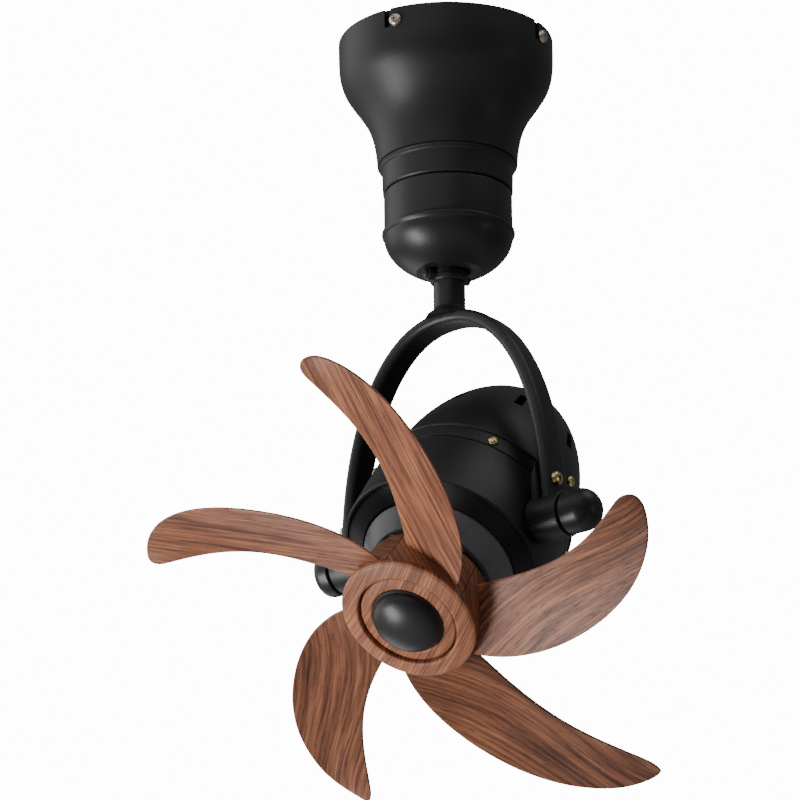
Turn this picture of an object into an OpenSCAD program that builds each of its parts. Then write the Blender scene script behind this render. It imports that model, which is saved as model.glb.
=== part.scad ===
// Ceiling fan with one tilting head on a turning yoke, in millimetres.
// The ceiling is the plane z = 0 and everything hangs below it. The head tilts
// about a line along x. Pieces of the head are drawn in the head's own frame:
// its +z points out of the front of the fan and its origin lies on the tilt axis.

/* [Canopy] */
// Diameter of the bell where it meets the ceiling
canopy_d = 150; // [146:1:170]
// Height of the bell
bell_h = 92; // [88:1:110]
// Depth at which the bell has narrowed half way
bell_waist = 50; // [44:1:56]
// Diameter of the neck ring under the bell
neck_d = 90.4; // [89:0.2:98]
// Height of the neck ring
neck_h = 21; // [20:0.5:26]
// Wall of the bell, neck, band and bowl
skin = 1.6; // [1.2:0.1:2]

/* [Ceiling plate] */
// Thickness of the ceiling plate and its tabs
plate_t = 2.5; // [2:0.1:3.5]
// Distance between the centres of the two wide mounting slots
wide_pitch = 88.9; // [80:0.1:96]
// Distance between the centres of the two narrow mounting slots
narrow_pitch = 69.9; // [62:0.1:74]
// Width of each mounting slot
slot_w = 5.2; // [4:0.1:6]
// Length of each mounting slot, end to end
slot_l = 14; // [10:0.5:18]
// Diameter of the hole for the house wires
wire_hole_d = 38; // [30:1:44]
// Turn of the first bell screw round the ceiling plate
bell_screw_az = -80.5; // [-90:0.5:-60]
// Depth of the bell screws below the ceiling
bell_screw_drop = 9.5; // [9:0.5:14]

/* [Turning neck] */
// Open gap between the fixed neck and the turning band
turn_gap = 1.4; // [0.8:0.1:2]
// Height of the turning band
band_h = 27.1; // [26:0.1:36]
// Depth of the bowl under the band
bowl_h = 29.5; // [28:0.5:36]
// Depth at which the bowl's curve would close
bowl_curve = 34.5; // [33:0.5:44]
// Diameter of the bowl's rim
bowl_d = 92.4; // [92.4:0.2:98]
// Bore of the neck bearing
neck_bearing_bore = 17; // [15:0.5:18]
// Outer diameter of the neck bearing
neck_bearing_d = 26; // [25:0.5:28]
// Width of the neck bearing
neck_bearing_w = 8; // [6:0.5:8]
// Gear module of the turning drive
gear_module = 1.5; // [1.4:0.05:1.5]
// Teeth of the ring gear
ring_teeth = 48; // [48:4:48]
// Teeth of the drive pinion
pinion_teeth = 12; // [12:1:12]

/* [Stem and yoke] */
// Diameter of the stem
stem_d = 22; // [20:0.5:24]
// Wall of the stem
stem_wall = 3; // [2.5:0.1:4]
// Length of stem seen between the bowl and the yoke
stem_show = 31; // [28:0.5:44]
// Wall of the collar round the stem
collar_wall = 2; // [1.8:0.1:4]
// Height of the collar
collar_h = 13.5; // [12:0.5:16]
// How far the collar's lug reaches from the stem's middle
lug_reach = 17.6; // [17:0.2:19]
// Open gap between the head's side and the yoke's leg
leg_gap = 9; // [8:0.5:18]
// Height of the yoke from the tilt axis to its top
yoke_h = 166; // [164:0.5:190]
// Width of the yoke's strap
strap_w = 22.5; // [18:0.5:26]
// Thickness of the yoke's strap
strap_t = 9.5; // [8:0.5:10.5]
// Squareness of the yoke's arch, where 2 is an ellipse
arch_power = 2.2; // [2.1:0.05:2.4]

/* [Tilt pivots] */
// Diameter of the pivot barrels
barrel_d = 31.5; // [28:0.5:34]
// Diameter of the tilt knob
knob_d = 29.6; // [27:0.2:32]
// Diameter of the plain end cap
end_cap_d = 33; // [28:0.5:34]
// Diameter of the pivot studs
stud_d = 12; // [10:0.5:14]
// Radial clearance of studs, shaft and bearings in their bores
running_fit = 0.05; // [0.03:0.01:0.08]
// How far the barrels reach past the yoke's outer face on the knob side
knob_side_reach = 6.6; // [6:0.1:12]
// How far the barrel reaches past the yoke's outer face on the plain side
plain_side_reach = 6.4; // [5:0.1:12]
// Length of the tilt knob
knob_l = 24; // [20:0.5:28]
// Length of the plain end cap
end_cap_l = 13.5; // [12:0.5:20]
// Thickness of the friction washers
washer_t = 1.2; // [1:0.1:2]

/* [Head] */
// Diameter of the head
head_d = 142; // [138:0.5:144]
// Wall of the head's shells
head_wall = 2; // [1.6:0.1:2.5]
// Distance from the tilt axis to the front lip
front_h = 21.9; // [20:0.5:28]
// Distance from the tilt axis back to the front shell's seam
seam_front = 26.5; // [25:0.5:30]
// Width of the seam ring
seam_w = 12.4; // [11:0.2:16]
// Distance from the tilt axis to the back of the dome
dome_back = 148; // [140:1:152]
// Number of air slots round the dome
vent_count = 8; // [6:1:10]
// Width of an air slot
vent_w = 6; // [4:0.5:8]
// Length of an air slot along the head's axis
vent_l = 17.5; // [12:0.5:22]

/* [Rotor] */
// Diameter swept by the blade tips
sweep_d = 402; // [380:2:440]
// Diameter of the rotor shaft
shaft_d = 10; // [8:0.5:12]
// Open gap between the motor's bell and the arms of its frame
motor_gap = 5.5; // [4:0.5:8]
// Diameter of the wooden hub at its front ring
hub_d = 96.4; // [94:0.2:102]
// Distance from the tilt axis to the back of the wooden hub
hub_back = 48.7; // [47:0.5:54]
// Distance from the tilt axis to the seat of the front ring
hub_front = 82; // [80:0.5:86]
// Diameter of the black cap in the hub's middle
cap_d = 48.2; // [44:0.2:50]
// Height of the cap's dome
cap_h = 13; // [10:0.5:18]
// Air gap between the rotor's magnets and the stator
air_gap = 0.8; // [0.5:0.1:1.2]

/* [Blades] */
// Number of blades
blade_count = 5; // [5:1:5]
// Turn of the first blade
blade_phase = 9.3; // [0:0.1:20]
// Blade thickness in the middle
blade_t = 4.4; // [3.5:0.1:6]
// Blade thickness at its edges
edge_t = 1.8; // [1.2:0.1:2.4]
// Rounding length of the blade tip
tip_l = 16; // [10:0.5:20]
// Bluntness of the blade tip, where 2 is an ellipse
tip_power = 2.8; // [2:0.1:3.2]
// Hollow of the blade's front face across its width
camber = 2.5; // [0:0.1:4]

/* [Hidden] */
$fn = 96;

black = "#1f1f21";
dark = "#121214";
wood = "#7d503c";
brass = "#b8924f";
steel = "#b4b8bc";
copper = "#b8693a";
board_green = "#2f5d3a";
nylon = "#d8d4c8";

// Clearance between pieces of one body that lie face to face
seat = 0.1;
// Clearance between pieces that move past each other
pass = 0.4;

// Heights of the turning neck
neck_r = neck_d / 2;
neck_top = -bell_h;
groove_z = -(bell_h + neck_h);
band_r = neck_r - 0.7;
band_top = groove_z - turn_gap;
band_bottom = band_top - band_h;
bowl_bottom = band_bottom - bowl_h;
bowl_r = bowl_d / 2;
bowl_rim = 4.4;
base_t = 4;
post_ring_r = 30;
base_top = groove_z + 16;
base_bottom = base_top - base_t;

// Gears
ring_pitch_r = gear_module * ring_teeth / 2;
pinion_pitch_r = gear_module * pinion_teeth / 2;
gear_centre = ring_pitch_r - pinion_pitch_r;
gear_az = 70;
motor_pilot_r = 3.5;
gear_top = base_bottom - 3;
gear_w = 6;
ring_gear_r = neck_r - skin - 1.2;

// Bearing in the neck
boss_r = neck_bearing_d / 2 + 2.8;
bearing_bottom = groove_z + 1;
bearing_top = bearing_bottom + neck_bearing_w;
spindle_r = neck_bearing_bore / 2 - running_fit;
spindle_bore_r = 5.5;
carrier_top = groove_z - 2.2;
carrier_t = 3;
flange_t = 3;
flange_r = 30;
flange_bolt_r = 22;

// Stem and yoke
stem_r = stem_d / 2;
stem_top = carrier_top - carrier_t - flange_t;
yoke_top = bowl_bottom - stem_show;
pivot_drop = -(yoke_top - yoke_h);
collar_top = bowl_bottom + 5;
collar_r = stem_r + seat + collar_wall;
collar_screw_z = bowl_bottom - 4;
collar_lug_r = 4.4;
collar_screw_az = 246.6;
stem_joint = yoke_top + 4;
head_r = head_d / 2;
strap_mid_x = head_r + leg_gap + strap_t / 2;
strap_mid_top = yoke_h - strap_t / 2;
leg_out = strap_mid_x + strap_t / 2;

// Pivots
rest_tilt = 52.8;
barrel_r = barrel_d / 2;
stud_r = stud_d / 2;
stud_tip_r = stud_r - 1;
barrel_in = head_r + 0.6;
knob_barrel_end = leg_out + knob_side_reach;
plain_barrel_end = leg_out + plain_side_reach;
knob_in = knob_barrel_end + washer_t;
end_cap_in = plain_barrel_end + washer_t;
tongue_in = barrel_in + 2.4;
tongue_h = 37.7;
leg_screw_z = 25.5;
leg_screw_d = 10.4;
leg_screw_fwd = 3;
washer_r = min(barrel_d, knob_d, end_cap_d) / 2 - 2;
stud_cover = 5;

// Head
seam_back = seam_front + seam_w;
seam_gap = 1.1;
dome_start = seam_back + 5.7;
dome_depth = 108.5;
dome_r = head_r - 3.8;
dome_power = 1.85;
vent_mid = 97;
frame_t = 6;
frame_back = 65;
frame_arm_x = head_r - 9.5;
frame_arm_t = 5;
frame_arm_w = 28;
trunnion_screw_h = frame_back - frame_t / 2;
trunnion_screw_spread = 10;
trunnion_screw_d = 7.6;
trunnion_thread_l = 15;
board_back = frame_back + 16;

// Motor, from the back to the front along the head's axis
shaft_r = shaft_d / 2;
motor_r = frame_arm_x - frame_arm_t - motor_gap;
motor_wall = 2;
magnet_t = 4;
stator_r = motor_r - motor_wall - magnet_t - air_gap;
stator_lo = -32;
stator_hi = -8;
tube_r = shaft_r + 7;
tube_bore_r = shaft_r + 4.5;
tube_end = 6;
bearing_spots = [-50, -1];
bearing_w = 5;
bell_lo = -36;
bell_hi = 10;
stator_poles = 12;
slot_in = 0.5 * stator_r;
winding_in = slot_in + 3;
winding_out = stator_r - 6.5;

// Hub
hub_r = hub_d / 2;
cone_lo = front_h + 4.9;
cone_hi = hub_back - 7.2;
cone_r = head_r - 16.8;
cone_front_r = hub_r - 4.4;
core_r = hub_r - 10.2;
core_flange_r = hub_r - 4.8;
sleeve_r = shaft_r + 5;
blade_screw_r = hub_r - 7.2;
hub_ring_in = hub_r - 13;
inner_ring_r = hub_ring_in - 1;
ring_rise = 6;
ring_recess = 2.6;
cap_r = cap_d / 2;
blade_pitch = 360 / blade_count;

// Blade outline: the turn of its leading and trailing edge, in degrees about the
// head's axis, and how far each lies in front of the tilt axis, root to tip
lead_turn = [-67, -47.1, -31.7, -19.1, -3.2];
trail_turn = [-10.2, -9.5, -6.5, -1.2, 3.5];
lead_rise = [hub_front - 2, hub_front - 3, hub_front - 7.6, hub_front - 20];
trail_rise = [hub_back + 12.7, hub_back + 12.3, hub_back + 13.6, hub_back + 17.6];
blade_root_r = core_r + 4.5;
blade_fit_r = core_r + 8;
blade_rings = 26;
blade_strips = 8;
seam_turn = -1.3;
blade_screw_turn = blade_phase + seam_turn - blade_pitch / 4;

// ---- frames and small helpers ----

// Puts its children at the tilt axis, upright.
module at_pivot() {
    translate([0, 0, -pivot_drop]) children();
}

// Puts its children in the head's frame, at the angle at which the head rests.
module in_head() {
    at_pivot() rotate([90 + rest_tilt, 0, 0]) children();
}

// A cylinder along x from x0 to x1.
module bar_x(r, x0, x1) {
    translate([x0, 0, 0]) rotate([0, 90, 0]) cylinder(r = r, h = x1 - x0);
}

// A round solid between two heights.
module disc(r, z0, z1) {
    translate([0, 0, z0]) cylinder(r = r, h = z1 - z0);
}

// A ring between two radii and two heights.
module ring(r_out, r_in, z0, z1) {
    difference() {
        disc(r_out, z0, z1);
        disc(r_in, z0 - 1, z1 + 1);
    }
}

// A round solid from a list of [radius, height] points.
module turned(points) {
    rotate_extrude() polygon(points);
}

// A screw along z: its head stands on z = 0 and its shank goes down.
module pan_screw(head_d, head_h, shank_d, shank_l) {
    difference() {
        union() {
            disc(head_d / 2, 0, head_h * 0.55);
            translate([0, 0, head_h * 0.55])
                cylinder(r1 = head_d / 2, r2 = head_d * 0.32, h = head_h * 0.45);
            disc(shank_d / 2, -shank_l, 0.01);
        }
        for (turn = [0, 90])
            rotate(turn) translate([-head_d * 0.26, -head_d * 0.06, head_h * 0.5])
                cube([head_d * 0.52, head_d * 0.12, head_h]);
    }
}

// Copies its children round z at equal steps.
module round_z(count, start = 0) {
    for (i = [0 : count - 1]) rotate(start + i * 360 / count) children();
}

// The value at s, from 0 to 1, of the smooth curve through evenly spaced knots.
function through(knots, s, i = 0) =
    let (n = len(knots) - 1)
    i > n ? 0 : knots[i] * basis(n, i, s, 0) + through(knots, s, i + 1);
function basis(n, i, s, k) =
    k > n ? 1 : (k == i ? 1 : (s * n - k) / (i - k)) * basis(n, i, s, k + 1);

// ---- fixed to the ceiling ----

// Radius of the bell at a depth below the ceiling.
function bell_radius(depth) =
    neck_r + 2.1 + (canopy_d / 2 - neck_r - 2.1) / (1 + pow(depth / bell_waist, 4.8));

tab_x = bell_radius(bell_screw_drop + 6) - skin - 0.8;

module slot_pair(pitch, turn) {
    rotate(turn) for (side = [-1, 1])
        translate([side * pitch / 2, 0, 0]) {
            for (end = [-1, 1])
                translate([end * (slot_l - slot_w) / 2, 0, -2 * plate_t])
                    cylinder(r = slot_w / 2, h = 3 * plate_t);
            translate([-(slot_l - slot_w) / 2, -slot_w / 2, -2 * plate_t])
                cube([slot_l - slot_w, slot_w, 3 * plate_t]);
        }
}

module ceiling_plate() color(dark) {
    tab_w = 13;
    difference() {
        union() {
            disc(bell_radius(plate_t) - skin - pass, -plate_t, 0);
            round_z(4, bell_screw_az) translate([tab_x - plate_t, -tab_w / 2, -bell_screw_drop - 7])
                cube([plate_t, tab_w, bell_screw_drop + 7]);
        }
        disc(wire_hole_d / 2, -plate_t - 1, 1);
        slot_pair(wide_pitch, 0);
        slot_pair(narrow_pitch, 90);
        round_z(4, bell_screw_az) translate([0, 0, -bell_screw_drop])
            bar_x(2 + running_fit, tab_x - plate_t - 1, tab_x + 1);
    }
}

module support_posts() color(steel)
    round_z(3, 30) translate([post_ring_r, 0, 0]) disc(4, base_top, -plate_t);

module swivel_base() color(steel) difference() {
    union() {
        disc(neck_r - skin - seat, base_bottom, base_top);
        disc(boss_r, bearing_bottom - 0.4, base_bottom + 0.1);
    }
    disc(neck_bearing_d / 2, bearing_bottom - 1, bearing_top);
    disc(spindle_r + 2, bearing_top - 1, base_top + 1);
    rotate(gear_az) translate([gear_centre, 0, 0])
        disc(motor_pilot_r + seat, base_bottom - 1, base_top + 1);
}

module terminal_block() color(nylon) {
    block = [40, 14, 15];
    pocket_r = 3;
    difference() {
        translate([-block[0] / 2, 17 - canopy_d / 2, -plate_t - block[2]]) cube(block);
        for (i = [-1 : 1])
            translate([i * 12, 17 - canopy_d / 2 + block[1] / 2, -plate_t - block[2] - 1])
                cylinder(r = pocket_r, h = 6);
    }
}

module receiver_box() color(dark) {
    box = [canopy_d * 0.42, 20, 24];
    near = canopy_d / 2 - 19 - box[1];
    slot = [4, 3, 12];
    difference() {
        translate([-box[0] / 2, near, -plate_t - box[2]]) cube(box);
        for (i = [-2 : 2])
            translate([i * box[0] / 6 - slot[0] / 2, near - 1, -plate_t - 18]) cube(slot);
    }
}

module canopy_bell() color(black) {
    steps = 22;
    outer = [for (i = [0 : steps])
        let (d = bell_h * i / steps) [bell_radius(d), -d]];
    inner = [for (i = [steps : -1 : 0])
        let (d = (bell_h - skin) * i / steps) [bell_radius(d) - skin, -d]];
    lip = [[neck_r - skin, -bell_h], [neck_r - skin, -bell_h + skin]];
    notch = 5;
    difference() {
        turned(concat(outer, lip, inner));
        round_z(4, bell_screw_az) {
            translate([canopy_d / 2 - 8, -9, -bell_screw_drop - 4]) cube([12, notch, bell_screw_drop + 5]);
            translate([canopy_d / 2 - 8, -9, -bell_screw_drop - 2.4]) cube([12, 11.4, 4.8]);
        }
    }
}

module bell_screws() color(brass)
    round_z(4, bell_screw_az) translate([bell_radius(bell_screw_drop) + seat, 0, -bell_screw_drop])
        rotate([0, 90, 0]) pan_screw(9.6, 3.2, 4, 8);

module neck_ring() color(black) {
    bead = 2.4;
    turned([
        [neck_r + 2.2, neck_top], [neck_r + 2.2, neck_top - 1.4], [neck_r + 1.4, neck_top - 1.8],
        [neck_r + 1.4, neck_top - bead - 0.8], [neck_r + 0.4, neck_top - bead - 1.6],
        [neck_r, groove_z + 1], [neck_r - 0.6, groove_z], [neck_r - skin, groove_z],
        [neck_r - skin, base_top + 1], [neck_r - skin - 1, base_top + 1], [neck_r - skin - 1, neck_top]
    ]);
}

module swivel_motor() color(steel) rotate(gear_az) translate([gear_centre, 0, 0]) {
    disc(14.5, base_top, base_top + 22);
    disc(motor_pilot_r, base_bottom + 0.5, base_top + 0.1);
}

module slip_ring_body() color(dark) {
    ring(11, 3.2, base_top + 10, base_top + 24);
    round_z(3, 30) translate([10.5, -3, base_top + 20])
        cube([post_ring_r - 4 - seat - 10.5, 6, 3]);
}

module neck_bearing_outer() color(steel)
    ring(neck_bearing_d / 2, neck_bearing_d / 2 - 1.7, bearing_bottom, bearing_top);

// ---- the drive pinion ----

// Teeth with straight flanks; gap > 0 widens the spaces of a ring gear.
function tooth_points(teeth, r_root, r_tip, root_share, tip_share) =
    [for (i = [0 : teeth - 1]) each
        let (step = 360 / teeth, mid = i * step)
        [for (p = [[r_root, -root_share], [r_tip, -tip_share], [r_tip, tip_share], [r_root, root_share]])
            [p[0] * cos(mid + p[1] * step), p[0] * sin(mid + p[1] * step)]]];

module swivel_pinion() color(nylon) rotate(gear_az) translate([gear_centre, 0, 0]) {
    translate([0, 0, gear_top - gear_w]) linear_extrude(gear_w)
        polygon(tooth_points(pinion_teeth, pinion_pitch_r - 1.1 * gear_module,
            pinion_pitch_r + 0.75 * gear_module, 0.31, 0.11));
    disc(2, gear_top - 1, base_bottom + 0.3);
}

// ---- turning with the yoke ----

module neck_bearing_inner() color(steel)
    ring(neck_bearing_bore / 2 + 1.7, neck_bearing_bore / 2, bearing_bottom, bearing_top);

module ring_gear() color(nylon) difference() {
    disc(ring_gear_r, carrier_top, gear_top);
    disc(ring_pitch_r + 1.6 * gear_module, carrier_top - 1, gear_top - gear_w - 0.8);
    rotate(gear_az) translate([0, 0, gear_top - gear_w - 1]) linear_extrude(gear_w + 2)
        polygon(tooth_points(ring_teeth, ring_pitch_r - 0.7 * gear_module,
            ring_pitch_r + 1.2 * gear_module, 0.36, 0.17));
}

module swivel_spindle() color(steel) difference() {
    union() {
        disc(spindle_r, carrier_top - 0.1, base_top + 6);
        ring(spindle_r + 1.6, spindle_r - 1, carrier_top - 0.1, bearing_bottom);
        disc(flange_r, carrier_top - carrier_t - flange_t, carrier_top - carrier_t);
        disc(spindle_r + 1.6, carrier_top - carrier_t - 0.1, carrier_top);
    }
    disc(spindle_bore_r, stem_top - 1, base_top + 7);
    round_z(4) translate([flange_bolt_r, 0, 0]) disc(2.6, stem_top - 1, carrier_top);
}

module spindle_nut() color(steel) difference() {
    translate([0, 0, base_top + pass]) cylinder(r = spindle_r + 4, h = 5, $fn = 6);
    disc(spindle_r + seat / 2, base_top - 1, base_top + 9);
}

module slip_ring_rotor() color(nylon) {
    disc(3, base_top + 4.5, base_top + 23);
    disc(spindle_bore_r - seat / 2, base_top - 8, base_top + 5);
}

module swivel_carrier() color(steel) difference() {
    disc(neck_r - skin - 2, carrier_top - carrier_t, carrier_top);
    disc(spindle_r + 1.6 + seat, carrier_top - carrier_t - 1, carrier_top + 1);
    round_z(4) translate([flange_bolt_r, 0, 0]) disc(2.6, carrier_top - carrier_t - 1, carrier_top + 1);
}

module swivel_band() color(black) {
    shelf = carrier_top - carrier_t;
    inner = band_r - skin;
    spigot = inner - 1.6;
    turned([
        [inner, band_top], [band_r - 0.6, band_top], [band_r, band_top - 0.8], [band_r, band_bottom],
        [inner, band_bottom], [inner, band_bottom - 4], [spigot, band_bottom - 4],
        [spigot, shelf - 1.4], [band_r - 9, shelf - 1.4], [band_r - 9, shelf], [inner, shelf]
    ]);
}

// Radius of the bowl at a depth under the band, for a wall taken off its outside.
function bowl_radius(depth, wall) =
    let (u = max(0, depth - bowl_rim) / (bowl_curve - bowl_rim - wall))
    (bowl_r - 1.6 - wall) * pow(1 - pow(min(u, 1), 1.85), 1 / 1.85);

module swivel_bowl() color(black) {
    steps = 14;
    top = band_bottom - 0.3;
    outer = [for (i = [0 : steps]) let (d = bowl_rim + (bowl_h - 0.8 - bowl_rim) * i / steps)
        [bowl_radius(d, 0), band_bottom - d]];
    inner = [for (i = [steps : -1 : 0]) let (d = bowl_rim + (bowl_h - skin - bowl_rim) * i / steps)
        [bowl_radius(d, skin), band_bottom - d]];
    turned(concat(
        [[bowl_r - 1.6 - skin, top], [bowl_r - 0.7, top], [bowl_r, top - 0.7], [bowl_r, top - 1.8],
        [bowl_r - 0.8, top - 3.2]],
        outer,
        [[bowl_radius(bowl_h, 0), bowl_bottom], [collar_r + pass, bowl_bottom],
        [collar_r + pass, bowl_bottom + skin]],
        inner));
}

module stem() color(black) difference() {
    union() {
        disc(stem_r, stem_joint, stem_top);
        disc(flange_r, stem_top - flange_t, stem_top);
    }
    disc(stem_r - stem_wall, stem_joint - 1, stem_top + 1);
    round_z(4) translate([flange_bolt_r, 0, 0]) disc(2.6, stem_top - flange_t - 1, stem_top + 1);
    translate([0, 0, collar_screw_z]) rotate(collar_screw_az) bar_x(1.8, -stem_r - 1, stem_r + 1);
}

module stem_bolts() color(steel) round_z(4) translate([flange_bolt_r, 0, stem_top - flange_t])
    rotate([180, 0, 0]) {
        disc(4, 0, 3.2);
        disc(2.5, -carrier_t - 2 * flange_t, 0.1);
    }

// Clamp ring round the stem with a lug on one side, which its cross screw goes through.
module stem_collar() color(black) {
    low = collar_top - collar_h;
    difference() {
        union() {
            turned([
                [0, low], [collar_r - 1.2, low], [collar_r, low + 1.2], [collar_r, low + 4],
                [collar_r - 0.5, low + 4.6], [collar_r - 0.5, collar_top - 1], [collar_r - 1.2, collar_top],
                [0, collar_top]
            ]);
            difference() {
                translate([0, 0, collar_screw_z]) rotate(collar_screw_az) bar_x(collar_lug_r, 1, lug_reach);
                disc(2 * lug_reach, bowl_bottom - pass, bowl_bottom + 10);
            }
        }
        disc(stem_r + seat, low - 1, collar_top + 1);
        translate([0, 0, collar_screw_z]) rotate(collar_screw_az)
            bar_x(1.8, -collar_r - 1, lug_reach + 1);
    }
}

module collar_screw() color(black) translate([0, 0, collar_screw_z]) rotate(collar_screw_az) {
    bar_x(1.75, -collar_r - 0.5, lug_reach + 0.5);
    translate([lug_reach + 0.05, 0, 0]) rotate([0, 90, 0]) pan_screw(6.8, 3, 3.5, 1);
    translate([-collar_r - 2.6, 0, 0]) rotate([0, 90, 0]) cylinder(r = 3.4, h = 2.5, $fn = 6);
}

// The strap's half-round edged section as [out of the bend, across] points.
section_points = [for (side = [1, -1]) for (i = [0 : 7])
    let (t = side * (90 - i * 180 / 7))
    [strap_t / 2 * sin(t), side * ((strap_w - strap_t) / 2 + strap_t / 2 * cos(t))]];

// The strap's centre line in the xz plane, as [x, z, slope]: one rounded arch whose
// legs stand upright at the tilt axis. Its slope is 0 at the crown and 90 at a foot.
function arch_slope(x, z) =
    atan2(pow(x / strap_mid_x, arch_power - 1) / strap_mid_x,
        pow(z / strap_mid_top, arch_power - 1) / strap_mid_top);
function arch_at(turn) =
    let (x = strap_mid_x * pow(sin(turn), 2 / arch_power),
        z = strap_mid_top * pow(cos(turn), 2 / arch_power))
    [x, z, arch_slope(x, z)];
function leg_at(height) =
    let (x = strap_mid_x * pow(1 - pow(height / strap_mid_top, arch_power), 1 / arch_power))
    [x, height, arch_slope(x, height)];

// A point of the xz plane that lies out of the strap's centre line by a distance.
function off_strap(place, out) =
    [place[0] + out * sin(place[2]), place[1] + out * cos(place[2])];

// The bent strap, swept along its centre line from one foot to the other.
module strap() {
    half = [for (i = [0 : 28]) arch_at(90 * i / 28)];
    n = len(half);
    stations = concat([for (i = [n - 1 : -1 : 1]) [-half[i][0], half[i][1], -half[i][2]]], half);
    m = len(section_points);
    count = len(stations);
    points = [for (p = stations) for (q = section_points)
        let (at = off_strap(p, q[0])) [at[0], q[1], at[1]]];
    sides = [for (i = [0 : count - 2]) for (j = [0 : m - 1])
        [i * m + j, i * m + (j + 1) % m, (i + 1) * m + (j + 1) % m, (i + 1) * m + j]];
    polyhedron(points, concat([[for (j = [m - 1 : -1 : 0]) j]], sides,
        [[for (j = [0 : m - 1]) (count - 1) * m + j]]));
}

module yoke_arch() color(black) at_pivot() difference() {
    union() {
        strap();
        turned([
            [0, yoke_h - 3], [stem_r + 6, yoke_h - 3], [stem_r + 4.6, yoke_h - 0.6],
            [stem_r + 2.2, yoke_h + 0.6], [stem_r + 0.8, yoke_h + 2.2], [stem_r, yoke_h + 4], [0, yoke_h + 4]
        ]);
    }
    for (side = [0, 1]) mirror([side, 0, 0])
        bar_x(barrel_r + seat, barrel_in, 2 * leg_out);
    translate([0, -leg_screw_fwd, leg_screw_z]) bar_x(2.6, -2 * leg_out, 2 * leg_out);
}

// Barrel and tongue on the inside of a leg, drawn for the side where x > 0. The
// tongue's outer face follows the leg and its inner face slopes up to meet it.
module pivot_block(barrel_end) difference() {
    top_w = 0.6;
    leg_face_in = [for (i = [0 : 8]) off_strap(leg_at(tongue_h * i / 8), -(strap_t + seat) / 2)];
    union() {
        bar_x(barrel_r, barrel_in, barrel_end);
        translate([0, strap_w / 2, 0]) rotate([90, 0, 0]) linear_extrude(strap_w)
            polygon(concat([[tongue_in, 0]], leg_face_in,
                [[leg_face_in[8][0] - top_w, leg_face_in[8][1]], [tongue_in, tongue_h - 8]]));
    }
    bar_x(stud_r + running_fit, barrel_in - 1, barrel_end + 1);
    translate([0, -leg_screw_fwd, leg_screw_z]) bar_x(2.3, barrel_in, leg_out);
}

module pivot_block_right() color(black) at_pivot() pivot_block(knob_barrel_end);

module pivot_block_left() color(black) at_pivot() mirror([1, 0, 0]) pivot_block(plain_barrel_end);

// A leg's outer face where the lowest edge of its screw's head rests.
leg_face = off_strap(leg_at(leg_screw_z - leg_screw_d / 2), strap_t / 2)[0];

module leg_screws() color(brass) at_pivot() for (side = [0, 1]) mirror([side, 0, 0])
    translate([leg_face + seat, -leg_screw_fwd, leg_screw_z])
        rotate([0, 90, 0]) pan_screw(leg_screw_d, 3.6, 4.5, leg_face - tongue_in - 1);

// ---- the tilting head ----

// Radius of the dome at a distance behind the tilt axis, for a wall thickness
// taken off its outside.
function dome_radius(back, wall) =
    let (u = min(1, max(0, back - dome_start) / (dome_depth - wall)))
    (dome_r - wall) * pow(1 - pow(u, dome_power), 1 / dome_power);

module rear_dome() color(black) in_head() {
    steps = 16;
    end_round = 4;
    outer = [for (i = [0 : steps])
        let (b = dome_start + (dome_back - end_round - dome_start) * i / steps)
        [dome_radius(b, 0), -b]];
    inner = [for (i = [steps : -1 : 0])
        let (b = dome_start + (dome_back - head_wall - dome_start) * i / steps)
        [dome_radius(b, head_wall), -b]];
    tail_r = dome_radius(dome_back - end_round, 0);
    difference() {
        turned(concat(
            [[head_r - 4.4, -seam_back], [head_r, -seam_back], [head_r + 0.7, -seam_back - 0.8],
            [head_r + 0.5, -seam_back - 2], [head_r - 1.6, -seam_back - 2.8]],
            outer,
            [[tail_r - 3, -dome_back + 1.2], [tail_r - 7, -dome_back], [0, -dome_back],
            [0, -dome_back + head_wall]], inner));
        round_z(vent_count) translate([0, -vent_w / 2, -vent_mid - vent_l / 2])
            translate([30, 0, 0]) cube([head_r, vent_w, vent_l]);
        for (side = [0, 180]) for (spread = [-1, 1]) rotate(side + spread * trunnion_screw_spread)
            translate([0, 0, -trunnion_screw_h]) bar_x(2.3, 30, head_r);
    }
}

module seam_ring() color(black) in_head() difference() {
    turned([
        [head_r - 0.4, -seam_back + seat], [head_r - 0.4, -seam_front - seam_gap - 0.4],
        [head_r - 0.8, -seam_front - seam_gap], [head_r - head_wall - seat, -seam_front - seam_gap],
        [head_r - head_wall - seat, -seam_front + 7],
        [head_r - 4.4, -seam_front + 7], [head_r - 4.4, -seam_back + seat]
    ]);
    round_z(4, 45) translate([0, 0, -seam_front - seam_w / 2]) bar_x(2.05, 50, head_r + 2);
}

module seam_screws() color(brass) in_head()
    round_z(4, 45) translate([head_r - 0.3, 0, -seam_front - seam_w / 2])
        rotate([0, 90, 0]) pan_screw(7.6, 2.4, 4, 5.5);

module front_shell() color(black) in_head() difference() {
    union() {
        turned([
            [head_r - head_wall, -seam_front], [head_r - 0.5, -seam_front], [head_r, -seam_front + 0.5],
            [head_r, front_h - 1.6], [head_r - 0.6, front_h - 0.4], [head_r - 1.8, front_h],
            [head_r - head_wall - 0.8, front_h - 0.6], [head_r - head_wall - 0.8, front_h - 3],
            [head_r - head_wall, front_h - 4]
        ]);
        bar_x(barrel_r - 3, frame_arm_x + seat, head_r + 0.2);
        bar_x(barrel_r - 3, -head_r - 0.2, -frame_arm_x - seat);
    }
    bar_x(stud_r + 0.2, -head_r - 2, head_r + 2);
}

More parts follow.
